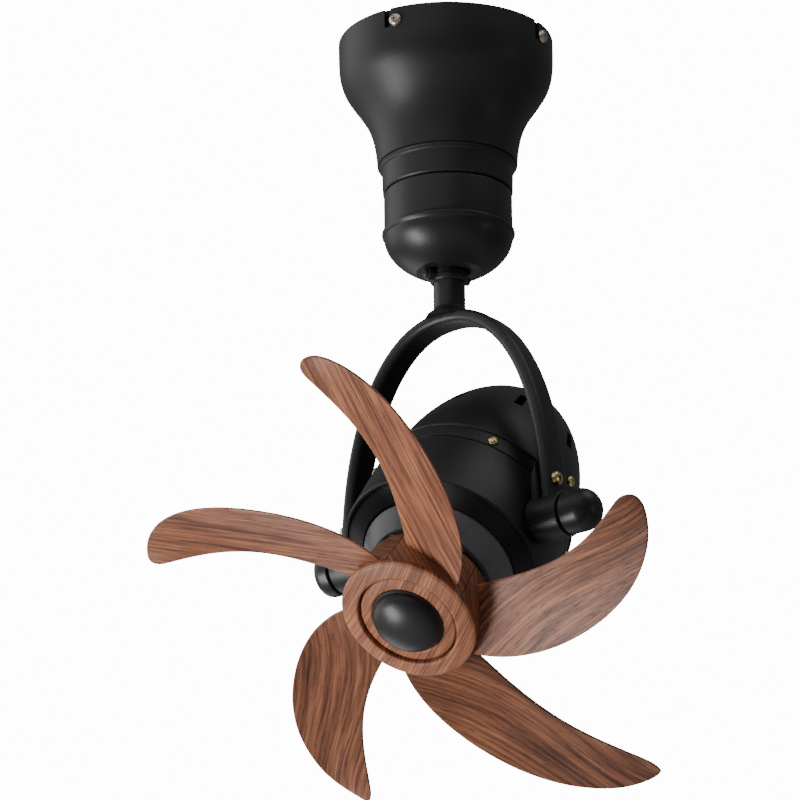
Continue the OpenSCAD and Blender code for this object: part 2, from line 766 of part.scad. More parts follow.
module front_plate() color(dark) in_head() turned([
    [head_r - head_wall - 1, front_h - 3.4], [head_r - head_wall - 1, front_h - 1.4],
    [cone_r + 1.4, cone_lo], [cone_r + 0.7, cone_lo - 0.6], [cone_r + 0.7, cone_lo - 7],
    [cone_r + 2.4, cone_lo - 7], [cone_r + 2.4, cone_lo - 2.2]
]);

module trunnion_frame() color(steel) in_head() difference() {
    union() {
        disc(dome_radius(frame_back, head_wall) - 0.6, -frame_back, -frame_back + frame_t);
        for (side = [0, 180]) rotate(side)
            translate([frame_arm_x - frame_arm_t, -frame_arm_w / 2, -frame_back])
                cube([frame_arm_t, frame_arm_w, frame_back + frame_arm_w / 2]);
    }
    disc(tube_bore_r, -frame_back - 1, -frame_back + frame_t + 1);
    bar_x(stud_r + seat / 2, -head_r, head_r);
    for (side = [0, 180]) for (spread = [-1, 1]) rotate(side + spread * trunnion_screw_spread)
        translate([0, 0, -trunnion_screw_h])
            bar_x(2.05, dome_radius(frame_back, 0) - trunnion_thread_l - 2, head_r);
    round_z(4, 45) translate([board_post_r, 0, 0]) disc(1.6, -frame_back - 1, -frame_back + frame_t + 1);
}

module trunnion_screws() color(brass) in_head()
    for (side = [0, 180]) for (spread = [-1, 1]) rotate(side + spread * trunnion_screw_spread)
        translate([dome_radius(trunnion_screw_h - trunnion_screw_d / 2, 0) + seat, 0, -trunnion_screw_h])
            rotate([0, 90, 0]) pan_screw(trunnion_screw_d, 2.4, 4, trunnion_thread_l);

// Stud through a barrel, drawn for the side where x > 0.
module pivot_stud(barrel_end, tip) {
    bar_x(stud_r + 3, frame_arm_x - frame_arm_t - 2.4, frame_arm_x - frame_arm_t - seat / 2);
    bar_x(stud_r, frame_arm_x - frame_arm_t - 1, barrel_end);
    bar_x(stud_tip_r, barrel_end - 1, tip);
}

module pivot_stud_right() color(steel) at_pivot()
    pivot_stud(knob_barrel_end, knob_in + knob_l - stud_cover - 1);

module pivot_stud_left() color(steel) at_pivot() mirror([1, 0, 0])
    pivot_stud(plain_barrel_end, end_cap_in + end_cap_l - stud_cover - 1);

module pivot_washers() color(dark) at_pivot() {
    difference() {
        bar_x(washer_r, knob_barrel_end + seat, knob_in - seat);
        bar_x(stud_tip_r + running_fit, knob_barrel_end - 1, knob_in + 1);
    }
    difference() {
        bar_x(washer_r, -end_cap_in + seat, -plain_barrel_end - seat);
        bar_x(stud_tip_r + running_fit, -end_cap_in - 1, -plain_barrel_end + 1);
    }
}

// A round grip with a domed end, drawn along z from its seat.
module knob_body(grip_r, length, round_l) difference() {
    turned(concat(
        [[0, 0], [grip_r - 1.2, 0], [grip_r, 1.2], [grip_r, length - round_l]],
        [for (i = [1 : 11]) let (t = 90 * i / 12)
            [grip_r - round_l + round_l * cos(t), length - round_l + round_l * sin(t)]],
        [[grip_r - round_l, length], [0, length]]));
    disc(stud_tip_r + running_fit, -1, length - stud_cover);
}

module end_cap_left() color(black) at_pivot() translate([-end_cap_in, 0, 0])
    rotate([0, -90, 0]) knob_body(end_cap_d / 2, end_cap_l, 0.4 * end_cap_d / 2);

module motor_tube() color(steel) in_head() difference() {
    union() {
        disc(tube_r, -frame_back + frame_t, tube_end);
        disc(2 * tube_r, -frame_back + frame_t, -frame_back + frame_t + 4);
    }
    disc(tube_bore_r, -frame_back, tube_end + 1);
}

module motor_bearing_outer() color(steel) in_head()
    for (h = bearing_spots) ring(tube_bore_r, tube_bore_r - 1.5, h, h + bearing_w);

module stator_core() color("#6f7377") in_head() difference() {
    disc(stator_r, stator_lo, stator_hi);
    disc(tube_r + seat / 2, stator_lo - 1, stator_hi + 1);
    round_z(stator_poles, 180 / stator_poles) {
        translate([stator_r - 6, -1.3, stator_lo - 1]) cube([8, 2.6, stator_hi - stator_lo + 2]);
        translate([0, 0, stator_lo - 1]) linear_extrude(stator_hi - stator_lo + 2) polygon([
            [slot_in, -0.11 * slot_in], [stator_r - 5, -0.163 * stator_r],
            [stator_r - 5, 0.163 * stator_r], [slot_in, 0.11 * slot_in]
        ]);
    }
}

module stator_windings() color(copper) in_head() round_z(stator_poles) {
    coil_w = 0.213 * stator_r;
    wire_t = 0.95;
    difference() {
        translate([winding_in, -coil_w / 2, stator_lo - 3.4])
            cube([winding_out - winding_in, coil_w, stator_hi - stator_lo + 6.8]);
        translate([winding_in - 1, wire_t - coil_w / 2, stator_lo - 0.1])
            cube([stator_r, coil_w - 2 * wire_t, stator_hi - stator_lo + 0.2]);
    }
}

board_r = dome_radius(board_back, head_wall) - 10;
board_post_r = board_r - 10;

module driver_board() color(board_green) in_head() {
    board_t = 1.6;
    chip = [8, 12, 4.5];
    difference() {
        disc(board_r, -board_back - board_t, -board_back);
        disc(8, -board_back - 2 * board_t, -board_back + 1);
        round_z(4, 45) translate([board_post_r, 0, 0]) disc(1.7, -board_back - 2 * board_t, -board_back + 1);
    }
    for (turn = [20, 75, 160])
        rotate(turn) translate([0.52 * board_r, 0, 0]) disc(5, -board_back - 14, -board_back - board_t + 0.1);
    for (i = [-1 : 1])
        translate([i * 12 - chip[0] / 2, -0.72 * board_r, -board_back - board_t - chip[2] + 0.1]) cube(chip);
}

module board_posts() color(nylon) in_head() round_z(4, 45) translate([board_post_r, 0, 0]) {
    disc(3, -board_back, -frame_back);
    disc(1.55, -board_back - 4, -frame_back + 4);
}

module tilt_knob() color(black) at_pivot() translate([knob_in, 0, 0])
    rotate([0, 90, 0]) knob_body(knob_d / 2, knob_l, 0.9 * knob_d / 2);

// ---- the rotor ----

module rotor_shaft() color(steel) in_head() {
    disc(shaft_r, bearing_spots[0] - 4, hub_front + 6);
    translate([0, 0, hub_front + 0.2]) cylinder(r = shaft_r + 3.4, h = 5, $fn = 6);
}

module motor_bearing_inner() color(steel) in_head()
    for (h = bearing_spots) ring(shaft_r + 2.6, shaft_r, h, h + bearing_w);

module rotor_bell() color("#8b8f94") in_head() {
    ring(motor_r, motor_r - motor_wall, bell_lo, bell_hi);
    ring(motor_r, shaft_r, bell_hi - motor_wall, bell_hi);
    ring(sleeve_r, shaft_r, bell_hi - 0.1, bell_hi + 9);
}

module rotor_magnets() color(dark) in_head() {
    count = 14;
    gap_w = 2.4;
    difference() {
        ring(motor_r - motor_wall, motor_r - motor_wall - magnet_t, stator_lo - 2, stator_hi + 2);
        round_z(count) translate([motor_r - 12, -gap_w / 2, stator_lo - 3])
            cube([14, gap_w, stator_hi - stator_lo + 6]);
    }
}

module hub_cone() color(black) in_head() turned([
    [cone_r - 1, cone_lo - 4], [cone_r, cone_lo - 3.6], [cone_r, cone_lo - 0.4], [cone_r - 0.5, cone_lo + 0.4],
    [cone_front_r + 0.6, cone_hi - 0.8], [cone_front_r - 0.6, cone_hi],
    [sleeve_r + seat, cone_hi], [sleeve_r + seat, cone_hi - 1.8], [cone_front_r - 1.8, cone_hi - 1.8],
    [cone_r - 2, cone_lo - 0.4], [cone_r - 2, cone_lo - 4]
]);

module hub_core() color(dark) in_head() difference() {
    turned([
        [shaft_r, bell_hi + 9.2], [sleeve_r, bell_hi + 9.2], [sleeve_r, cone_hi + 0.3],
        [core_flange_r - 3, cone_hi + 0.3], [core_flange_r - 3, hub_back - 3],
        [core_flange_r, hub_back - 2.6], [core_flange_r, hub_back - 0.2], [core_r, hub_back - 0.2],
        [core_r, hub_front - seat], [cap_r - 3, hub_front - seat], [cap_r - 3, hub_front - 2.4],
        [core_r - 2.6, hub_front - 2.4], [core_r - 2.6, hub_back + 4],
        [sleeve_r, hub_back + 4], [sleeve_r, hub_front], [shaft_r, hub_front]
    ]);
    round_z(2 * blade_count, blade_screw_turn) translate([blade_screw_r, 0, 0]) {
        disc(1.9, hub_back - 4, hub_back + 1);
        disc(3.4, cone_hi, hub_back - 2.4);
    }
}

module blade_screws() color(steel) in_head()
    round_z(2 * blade_count, blade_screw_turn) translate([blade_screw_r, 0, hub_back - 2.5])
        rotate([180, 0, 0]) pan_screw(6, 2, 3.6, 14);

// Radius of the wooden hub's side at a distance in front of the tilt axis.
function hub_side(h) = hub_r - 3.6 + 3.2 * (h - hub_back) / (hub_front - hub_back);

// One corner of the blade's grid: s runs from the leading to the trailing edge,
// u from the root to the tip, and face is 1 at the front and -1 at the back.
function blade_point(u, s, face) =
    let (tip_r = sweep_d / 2,
        r = blade_root_r + (tip_r - blade_root_r) * u,
        v = max(0, (r - blade_fit_r) / (tip_r - blade_fit_r)),
        past = max(0, (r - tip_r + tip_l) / tip_l),
        squeeze = pow(max(0.0004, 1 - pow(past, tip_power)), 1 / tip_power),
        w = 0.5 + (s - 0.5) * squeeze,
        turn = through(lead_turn, v) * (1 - w) + through(trail_turn, v) * w,
        rise = through(lead_rise, v) * (1 - w) + through(trail_rise, v) * w,
        bow = camber * 4 * w * (1 - w) * min(1, 3 * v),
        full = edge_t + (blade_t - edge_t) * sqrt(max(0, 1 - pow(2 * s - 1, 2))) * (1 - 0.45 * v))
    [r * cos(turn), r * sin(turn), rise - bow + face * full * (0.35 + 0.65 * squeeze) / 2];

module blade_sheet() {
    nu = blade_rings;
    ns = blade_strips;
    row = ns + 1;
    layer = row * (nu + 1);
    points = [for (face = [1, -1]) for (i = [0 : nu]) for (j = [0 : ns])
        blade_point(1 - pow(1 - i / nu, 1.35), j / ns, face)];
    front = [for (i = [0 : nu - 1]) for (j = [0 : ns - 1]) each let (a = i * row + j)
        [[a, a + 1, a + row], [a + 1, a + row + 1, a + row]]];
    back = [for (i = [0 : nu - 1]) for (j = [0 : ns - 1]) each let (a = layer + i * row + j)
        [[a, a + row, a + 1], [a + 1, a + row, a + row + 1]]];
    rim = concat(
        [for (j = [0 : ns - 1]) j], [for (i = [0 : nu - 1]) i * row + ns],
        [for (j = [ns : -1 : 1]) nu * row + j], [for (i = [nu : -1 : 1]) i * row]);
    side = [for (k = [0 : len(rim) - 1]) each
        let (a = rim[k], b = rim[(k + 1) % len(rim)])
        [[a, a + layer, b], [b, a + layer, b + layer]]];
    polyhedron(concat(points), concat(front, back, side));
}

// A blade with the block of hub that carries it.
module blade(index) color(wood) in_head() rotate(blade_phase + index * blade_pitch) difference() {
    union() {
        blade_sheet();
        rotate([0, 0, seam_turn - blade_pitch + 0.2]) rotate_extrude(angle = blade_pitch - 0.4) polygon([
            [core_r + seat, hub_back], [hub_side(hub_back) - 0.6, hub_back],
            [hub_side(hub_back), hub_back + 0.6], [hub_side(hub_front), hub_front],
            [core_r + seat, hub_front]
        ]);
    }
    disc(hub_r + seat, hub_front + seat, hub_front + ring_rise);
    for (turn = [0, -blade_pitch / 2])
        rotate(turn + blade_screw_turn - blade_phase) translate([blade_screw_r, 0, 0])
            disc(1.85, hub_back - 1, hub_back + 13);
}

module blade_1() blade(0);
module blade_2() blade(1);
module blade_3() blade(2);
module blade_4() blade(3);
module blade_5() blade(4);

module hub_ring() color(wood) in_head() {
    low = hub_front + 0.2;
    turned([
        [hub_ring_in, low], [hub_r - 0.5, low], [hub_r, low + 1.4], [hub_r - 0.5, low + 2.9],
        [hub_r - 2.6, low + 4.2], [hub_ring_in + 2, low + ring_rise - 0.2],
        [hub_ring_in + 0.6, low + ring_rise - 0.4], [hub_ring_in, low + ring_rise - 1.2]
    ]);
    turned([
        [cap_r + 1.4, low], [inner_ring_r, low], [inner_ring_r, low + ring_rise - ring_recess - 1],
        [inner_ring_r - 1.2, low + ring_rise - ring_recess], [cap_r + 2.6, low + ring_rise - ring_recess + 0.8],
        [cap_r + 1.4, low + ring_rise - ring_recess]
    ]);
}

module center_cap() color(black) in_head() {
    low = hub_front + 0.2;
    dome_foot = hub_front + ring_rise - 0.9;
    wall = 2;
    steps = 12;
    outer = [for (i = [0 : steps]) let (t = 90 * i / steps)
        [cap_r * cos(t), dome_foot + cap_h * sin(t)]];
    inner = [for (i = [steps : -1 : 0]) let (t = 90 * i / steps)
        [(cap_r - wall) * cos(t), dome_foot + (cap_h - wall) * sin(t)]];
    turned(concat([[cap_r + 1.2, low], [cap_r + 1.2, dome_foot - 1]], outer, inner, [[cap_r - wall, low]]));
}

ceiling_plate();
support_posts();
swivel_base();
terminal_block();
receiver_box();
canopy_bell();
bell_screws();
neck_ring();
swivel_motor();
slip_ring_body();
neck_bearing_outer();
swivel_pinion();
neck_bearing_inner();
ring_gear();
swivel_spindle();
spindle_nut();
slip_ring_rotor();
swivel_carrier();
swivel_band();
swivel_bowl();
stem();
stem_bolts();
stem_collar();
collar_screw();
yoke_arch();
pivot_block_right();
pivot_block_left();
leg_screws();
rear_dome();
seam_ring();
seam_screws();
front_shell();
front_plate();
trunnion_frame();
trunnion_screws();
pivot_stud_right();
pivot_stud_left();
pivot_washers();
end_cap_left();
motor_tube();
motor_bearing_outer();
stator_core();
stator_windings();
driver_board();
board_posts();
tilt_knob();
rotor_shaft();
motor_bearing_inner();
rotor_bell();
rotor_magnets();
hub_cone();
hub_core();
blade_screws();
blade_1();
blade_2();
blade_3();
blade_4();
blade_5();
hub_ring();
center_cap();
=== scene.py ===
import math

import bmesh
import bpy
from mathutils import Matrix, Vector


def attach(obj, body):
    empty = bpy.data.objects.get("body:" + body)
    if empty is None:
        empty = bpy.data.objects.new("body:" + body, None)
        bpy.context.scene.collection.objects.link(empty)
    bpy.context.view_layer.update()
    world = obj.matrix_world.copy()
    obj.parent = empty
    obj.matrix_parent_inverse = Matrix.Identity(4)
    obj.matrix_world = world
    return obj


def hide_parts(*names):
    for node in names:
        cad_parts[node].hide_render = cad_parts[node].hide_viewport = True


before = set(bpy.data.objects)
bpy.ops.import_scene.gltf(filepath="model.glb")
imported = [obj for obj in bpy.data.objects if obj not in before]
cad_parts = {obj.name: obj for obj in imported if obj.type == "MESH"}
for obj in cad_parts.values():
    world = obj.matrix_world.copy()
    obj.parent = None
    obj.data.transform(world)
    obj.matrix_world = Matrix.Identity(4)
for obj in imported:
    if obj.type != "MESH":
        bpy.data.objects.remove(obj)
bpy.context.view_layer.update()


# ---- Camera ----
# A long lens looks up at the fan from the front right, a little off level. The
# frame is square, and the middle of the view lies right of the middle of the frame.
sight_turn = math.radians(36.62)
sight_rise = math.radians(20.23)
sight_reach = 4.0
sight_roll = math.radians(0.85)
frame_px = 800
lens_px = 5847.75
aim_px = (450.93, 408.07)
aim = Vector((0, 0, -0.27))
flat = math.cos(sight_rise)
back = Vector((math.sin(sight_turn) * flat, -math.cos(sight_turn) * flat, -math.sin(sight_rise)))
right = Vector((math.cos(sight_turn), math.sin(sight_turn), 0))
up = back.cross(right)
pan = math.atan2(aim_px[0] - frame_px / 2, lens_px)
lift = math.atan2(frame_px / 2 - aim_px[1], lens_px)
side_on = right * math.cos(pan) - back * math.sin(pan)
ahead = -right * math.sin(pan) - back * math.cos(pan)
crown = up * math.cos(lift) + ahead * math.sin(lift)
ahead = ahead * math.cos(lift) - up * math.sin(lift)
cam_x = side_on * math.cos(sight_roll) - crown * math.sin(sight_roll)
cam_y = side_on * math.sin(sight_roll) + crown * math.cos(sight_roll)


def placed(name, data):
    """A new object in the scene for a mesh, a light or a camera."""
    thing = bpy.data.objects.new(name, data)
    bpy.context.scene.collection.objects.link(thing)
    return thing


camera = bpy.data.cameras.new("view")
camera.sensor_width = 36
camera.lens = lens_px * camera.sensor_width / frame_px
camera.clip_end = 60
eye = placed("view", camera)
eye.matrix_world = Matrix((cam_x, cam_y, -ahead)).transposed().to_4x4()
eye.matrix_world.translation = aim + back * sight_reach
bpy.context.scene.camera = eye


# ---- Studio light ----
# A soft box low on the left makes the highlights and a wide one beside it fills the
# left sides. Others stand above, over the dome, low behind and at the far side. The
# backdrop is a white glow.
def soft_box(name, turn, rise, reach, size, power):
    """A rectangular soft box that faces the fan from a direction given in degrees."""
    way = Vector((
        math.cos(math.radians(turn)) * math.cos(math.radians(rise)),
        math.sin(math.radians(turn)) * math.cos(math.radians(rise)),
        math.sin(math.radians(rise))))
    light = bpy.data.lights.new(name, "AREA")
    light.shape = "RECTANGLE"
    light.size, light.size_y = size
    light.energy = power
    lamp = placed(name, light)
    lamp.location = aim + way * reach
    lamp.rotation_mode = "QUATERNION"
    lamp.rotation_quaternion = (-way).to_track_quat("-Z", "Y")


soft_box("key_box", -126, -32, 2.0, (0.6, 1.2), 52)
soft_box("side_box", -158, 14, 2.2, (2.0, 2.2), 22)
soft_box("top_box", -84, 42, 2.8, (3.6, 3.2), 26)
soft_box("dome_box", 13, 58, 2.6, (1.6, 1.6), 13)
soft_box("back_box", 151, -29, 2.4, (1.2, 1.2), 8)
soft_box("edge_box", 15, -3, 2.2, (0.3, 0.6), 1.5)


def node(tree, kind, inputs=None, **settings):
    """Adds a shader node, sets its values, and links the inputs that are sockets."""
    made = tree.nodes.new("ShaderNode" + kind)
    for key, value in settings.items():
        setattr(made, key, value)
    for key, value in (inputs or {}).items():
        if isinstance(value, bpy.types.NodeSocket):
            tree.links.new(value, made.inputs[key])
        else:
            made.inputs[key].default_value = value
    return made


glow_strength = 14
room_strength = 0.15
world = bpy.data.worlds.new("studio")
world.use_nodes = True
sky = world.node_tree
sky.nodes.clear()
glow = node(sky, "Background", {"Color": (1, 1, 1, 1), "Strength": glow_strength})
room = node(sky, "Background", {"Color": (0.93, 0.96, 1, 1), "Strength": room_strength})
seen = node(sky, "LightPath")
both = node(sky, "MixShader", {0: seen.outputs["Is Camera Ray"], 1: room.outputs[0], 2: glow.outputs[0]})
node(sky, "OutputWorld", {"Surface": both.outputs[0]})
bpy.context.scene.world = world


# ---- Floor ----
# A pale painted floor far under the fan. It shows from above only, so a view that
# looks up from below it still sees the fan.
def new_material(name):
    """A material with an empty node tree, and that tree."""
    made = bpy.data.materials.new(name)
    made.use_nodes = True
    made.node_tree.nodes.clear()
    return made, made.node_tree


def ramp(tree, value, *stops):
    """The colour at a value on a ramp of two or more (position, colour) stops."""
    made = node(tree, "ValToRGB", {0: value})
    bar = made.color_ramp.elements
    for i in (0, -1):
        bar[i].position = stops[i][0]
        bar[i].color = (*stops[i][1], 1)
    for position, colour in stops[1:-1]:
        bar.new(position).color = (*colour, 1)
    return made.outputs[0]


floor_z = -2.4
floor_w = 12
floor_mesh = bpy.data.meshes.new("floor")
floor_mesh.from_pydata([(-floor_w, -floor_w, floor_z), (floor_w, -floor_w, floor_z),
                        (floor_w, floor_w, floor_z), (-floor_w, floor_w, floor_z)], [], [[0, 1, 2, 3]])
floor = placed("floor", floor_mesh)
paint, tree = new_material("floor_paint")
spot = node(tree, "TexCoord")
mottle = node(tree, "TexNoise", {"Vector": spot.outputs["Object"], "Scale": 3, "Detail": 6})
shade = ramp(tree, mottle.outputs[0], (0, (0.78, 0.78, 0.77)), (1, (0.86, 0.86, 0.85)))
matt = node(tree, "BsdfPrincipled", {"Base Color": shade, "Roughness": 0.7})
pale = node(tree, "Emission", {"Color": shade, "Strength": 3.5})
lifted = node(tree, "AddShader", {0: matt.outputs[0], 1: pale.outputs[0]})
sight = node(tree, "LightPath")
seen_floor = node(tree, "MixShader", {
    0: sight.outputs["Is Camera Ray"], 1: matt.outputs[0], 2: lifted.outputs[0]})
clear = node(tree, "BsdfTransparent")
under = node(tree, "NewGeometry")
mixed = node(tree, "MixShader", {
    0: under.outputs["Backfacing"], 1: seen_floor.outputs[0], 2: clear.outputs[0]})
node(tree, "OutputMaterial", {"Surface": mixed.outputs[0]})
floor.data.materials.append(paint)


# ---- Ceiling plate and the parts inside the bell ----
# A pressed steel plate, coated near black, is screwed to the ceiling box; its black also paints in
# the shade seen through the bell's keyhole notches. Three rods, the geared motor, the slip ring,
# a wire block and the receiver hang from it in the bell.
def grouped(name, inputs, outputs):
    """A new shader group with float inputs and float outputs, and its two end nodes."""
    made = bpy.data.node_groups.new(name, "ShaderNodeTree")
    for key, value in inputs.items():
        socket = made.interface.new_socket(key, in_out="INPUT", socket_type="NodeSocketFloat")
        socket.default_value = value
    for key in outputs:
        made.interface.new_socket(key, in_out="OUTPUT", socket_type="NodeSocketFloat")
    return made, made.nodes.new("NodeGroupInput"), made.nodes.new("NodeGroupOutput")


def reckon(tree, how, first, second, third=0.0, clamp=False):
    """The result of one sum on two or three values or sockets."""
    values = {0: first, 1: second, 2: third}
    return node(tree, "Math", values, operation=how, use_clamp=clamp).outputs[0]


def surfaced(tree, inputs):
    """Ends a material with one physical shader."""
    shader = node(tree, "BsdfPrincipled", inputs)
    node(tree, "OutputMaterial", {"Surface": shader.outputs[0]})


def put_out(tree, leave, **results):
    """Links a group's results to its outputs by name."""
    for key, socket in results.items():
        tree.links.new(socket, leave.inputs[key])


def place_group(tree, which, **values):
    """Puts a group into a tree and sets its inputs."""
    made = tree.nodes.new("ShaderNodeGroup")
    made.node_tree = which
    for key, value in values.items():
        socket = made.inputs[key]
        if isinstance(value, bpy.types.NodeSocket):
            tree.links.new(value, socket)
        else:
            socket.default_value = value
    return made.outputs


# Rolled or ground metal: fine scratches one way, and patches of duller film.
metal_marks, enter, leave = grouped(
    "metal_marks", {"Stretch": 0.08, "Size": 500.0, "Roughness": 0.3, "Spread": 0.2},
    ["Film", "Roughness", "Height"])
spot = node(metal_marks, "TexCoord")
squash = node(metal_marks, "CombineXYZ", {0: 1.0, 1: 1.0, 2: enter.outputs["Stretch"]})
drawn = node(metal_marks, "VectorMath", {0: spot.outputs["Object"], 1: squash.outputs[0]},
             operation="MULTIPLY")
lines = node(metal_marks, "TexNoise", {
    "Vector": drawn.outputs[0], "Scale": enter.outputs["Size"], "Detail": 3.0})
film = node(metal_marks, "TexNoise", {
    "Vector": spot.outputs["Object"], "Scale": 45.0, "Detail": 5.0, "Roughness": 0.6})
half = reckon(metal_marks, "SUBTRACT", lines.outputs[0], 0.5)
rough = reckon(metal_marks, "MULTIPLY_ADD", half, enter.outputs["Spread"], enter.outputs["Roughness"])
cloud = reckon(metal_marks, "SUBTRACT", film.outputs[0], 0.5)
rough = reckon(metal_marks, "MULTIPLY_ADD", cloud, enter.outputs["Spread"], rough)
put_out(metal_marks, leave, Film=film.outputs[0], Roughness=rough, Height=lines.outputs[0])


def metal(name, bright, dull, roughness, stretch=0.08, size=500.0):
    """Bare or plated metal with its own bright and dull colour."""
    made, tree = new_material(name)
    marks = place_group(tree, metal_marks, Stretch=stretch, Size=size, Roughness=roughness)
    tint = ramp(tree, marks["Film"], (0.35, dull), (0.62, bright))
    bump = node(tree, "Bump", {"Height": marks["Height"], "Distance": 0.00002, "Strength": 0.6})
    surfaced(tree, {
        "Base Color": tint, "Metallic": 1.0,
        "Roughness": marks["Roughness"], "Normal": bump.outputs[0]})
    return made


# Moulded plastic: a fine grained skin with faint flow marks.
mould_skin, enter, leave = grouped(
    "mould_skin", {"Grain": 900.0, "Roughness": 0.5, "Spread": 0.12}, ["Flow", "Roughness", "Height"])
spot = node(mould_skin, "TexCoord")
pits = node(mould_skin, "TexNoise", {
    "Vector": spot.outputs["Object"], "Scale": enter.outputs["Grain"], "Detail": 2.0})
flow = node(mould_skin, "TexNoise", {
    "Vector": spot.outputs["Object"], "Scale": 30.0, "Detail": 3.0, "Distortion": 1.2})
cloud = reckon(mould_skin, "SUBTRACT", flow.outputs[0], 0.5)
rough = reckon(mould_skin, "MULTIPLY_ADD", cloud, enter.outputs["Spread"], enter.outputs["Roughness"])
put_out(mould_skin, leave, Flow=flow.outputs[0], Roughness=rough, Height=pits.outputs[0])


def plastic(name, light, deep, roughness, grain=900.0):
    """Moulded plastic whose colour drifts a little from light to deep."""
    made, tree = new_material(name)
    skin = place_group(tree, mould_skin, Grain=grain, Roughness=roughness)
    tint = ramp(tree, skin["Flow"], (0, deep), (1, light))
    bump = node(tree, "Bump", {"Height": skin["Height"], "Distance": 0.00002, "Strength": 0.5})
    surfaced(tree, {
        "Base Color": tint, "Roughness": skin["Roughness"], "Normal": bump.outputs[0]})
    return made


def refinish(material, *names):
    """Gives a finish to CAD pieces that keep their own shape."""
    for name in names:
        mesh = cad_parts[name].data
        mesh.materials.clear()
        mesh.materials.append(material)


# Powder coat: a fine orange peel, soft drifts of gloss, and a rubbed shine where
# the mesh carries its "edge" mark.
coat_peel, enter, leave = grouped(
    "coat_peel", {"Peel": 750.0, "Roughness": 0.4, "Spread": 0.1, "Wear": 0.3},
    ["Drift", "Roughness", "Height", "Worn"])
spot = node(coat_peel, "TexCoord")
peel = node(coat_peel, "TexNoise", {
    "Vector": spot.outputs["Object"], "Scale": enter.outputs["Peel"], "Detail": 1.5})
drift = node(coat_peel, "TexNoise", {
    "Vector": spot.outputs["Object"], "Scale": 22.0, "Detail": 4.0, "Roughness": 0.55})
rub = node(coat_peel, "TexNoise", {
    "Vector": spot.outputs["Object"], "Scale": 160.0, "Detail": 5.0, "Roughness": 0.7})
edge = node(coat_peel, "Attribute", attribute_name="edge")
patch = reckon(coat_peel, "SUBTRACT", rub.outputs[0], 0.38, clamp=True)
worn = reckon(coat_peel, "MULTIPLY", patch, edge.outputs["Fac"])
worn = reckon(coat_peel, "MULTIPLY", worn, enter.outputs["Wear"])
worn = reckon(coat_peel, "MULTIPLY", worn, 3.0, clamp=True)
cloud = reckon(coat_peel, "SUBTRACT", drift.outputs[0], 0.5)
rough = reckon(coat_peel, "MULTIPLY_ADD", cloud, enter.outputs["Spread"], enter.outputs["Roughness"])
rough = reckon(coat_peel, "MULTIPLY_ADD", worn, -0.15, rough)
put_out(coat_peel, leave, Drift=drift.outputs[0], Roughness=rough, Height=peel.outputs[0], Worn=worn)


def powder_coat(name, tone, roughness, peel=750.0, wear=0.3, depth=0.00003):
    """Black powder coat: tone is its darkest grey."""
    made, tree = new_material(name)
    film = place_group(tree, coat_peel, Peel=peel, Roughness=roughness, Wear=wear)
    tint = ramp(tree, film["Drift"], (0.3, (tone, tone, tone * 1.03)),
                (0.7, (tone * 1.25, tone * 1.25, tone * 1.3)))
    rubbed = node(tree, "Mix", {0: film["Worn"], 6: tint, 7: (0.05, 0.05, 0.05, 1)},
                  data_type="RGBA")
    bump = node(tree, "Bump", {"Height": film["Height"], "Distance": depth, "Strength": 0.5})
    surfaced(tree, {
        "Base Color": rubbed.outputs[2], "Roughness": film["Roughness"], "Normal": bump.outputs[0],
        "Specular IOR Level": 0.3})
    return made


zinc = metal("zinc_plate", (0.62, 0.64, 0.66), (0.42, 0.43, 0.44), 0.36, stretch=1.0, size=220.0)
turned_steel = metal("turned_steel", (0.56, 0.56, 0.57), (0.38, 0.38, 0.39), 0.24)
natural_nylon = plastic("natural_nylon", (0.72, 0.69, 0.61), (0.60, 0.57, 0.49), 0.42)
dark_case = plastic("dark_case", (0.022, 0.022, 0.024), (0.012, 0.012, 0.013), 0.5)
# Painted shade: the plate's coat is near black so that the notches in the bell's rim read dark.
plate_black_and_shade = powder_coat("plate_black_and_shade", 0.006, 0.6)
refinish(plate_black_and_shade, "ceiling_plate")
refinish(zinc, "support_posts", "swivel_base", "swivel_motor")
refinish(turned_steel, "neck_bearing_outer")
refinish(natural_nylon, "terminal_block", "swivel_pinion")
refinish(dark_case, "receiver_box", "slip_ring_body")


# ---- Canopy bell ----
# A bell spun from steel sheet and powder coated satin black. Its rim has four
# keyhole notches that hook over screws in the ceiling plate's tabs.
MM = 0.001
neck_r = 45.2
canopy_r = 75.0
bell_h = 92.0
bell_waist = 50.0
bell_bead = 2.1
bell_power = 4.8
skin = 1.6
bell_screw_az = -80.5
bell_screw_drop = 9.5
notch_turn = 6.9
notch_slot = 3.06
notch_key = 1.84
notch_low = 13.5
key_low = 11.9
key_high = 7.1


def finished(form, name):
    """Turns a built form into a mesh and frees it."""
    mesh = bpy.data.meshes.new(name)
    form.to_mesh(mesh)
    form.free()
    return mesh


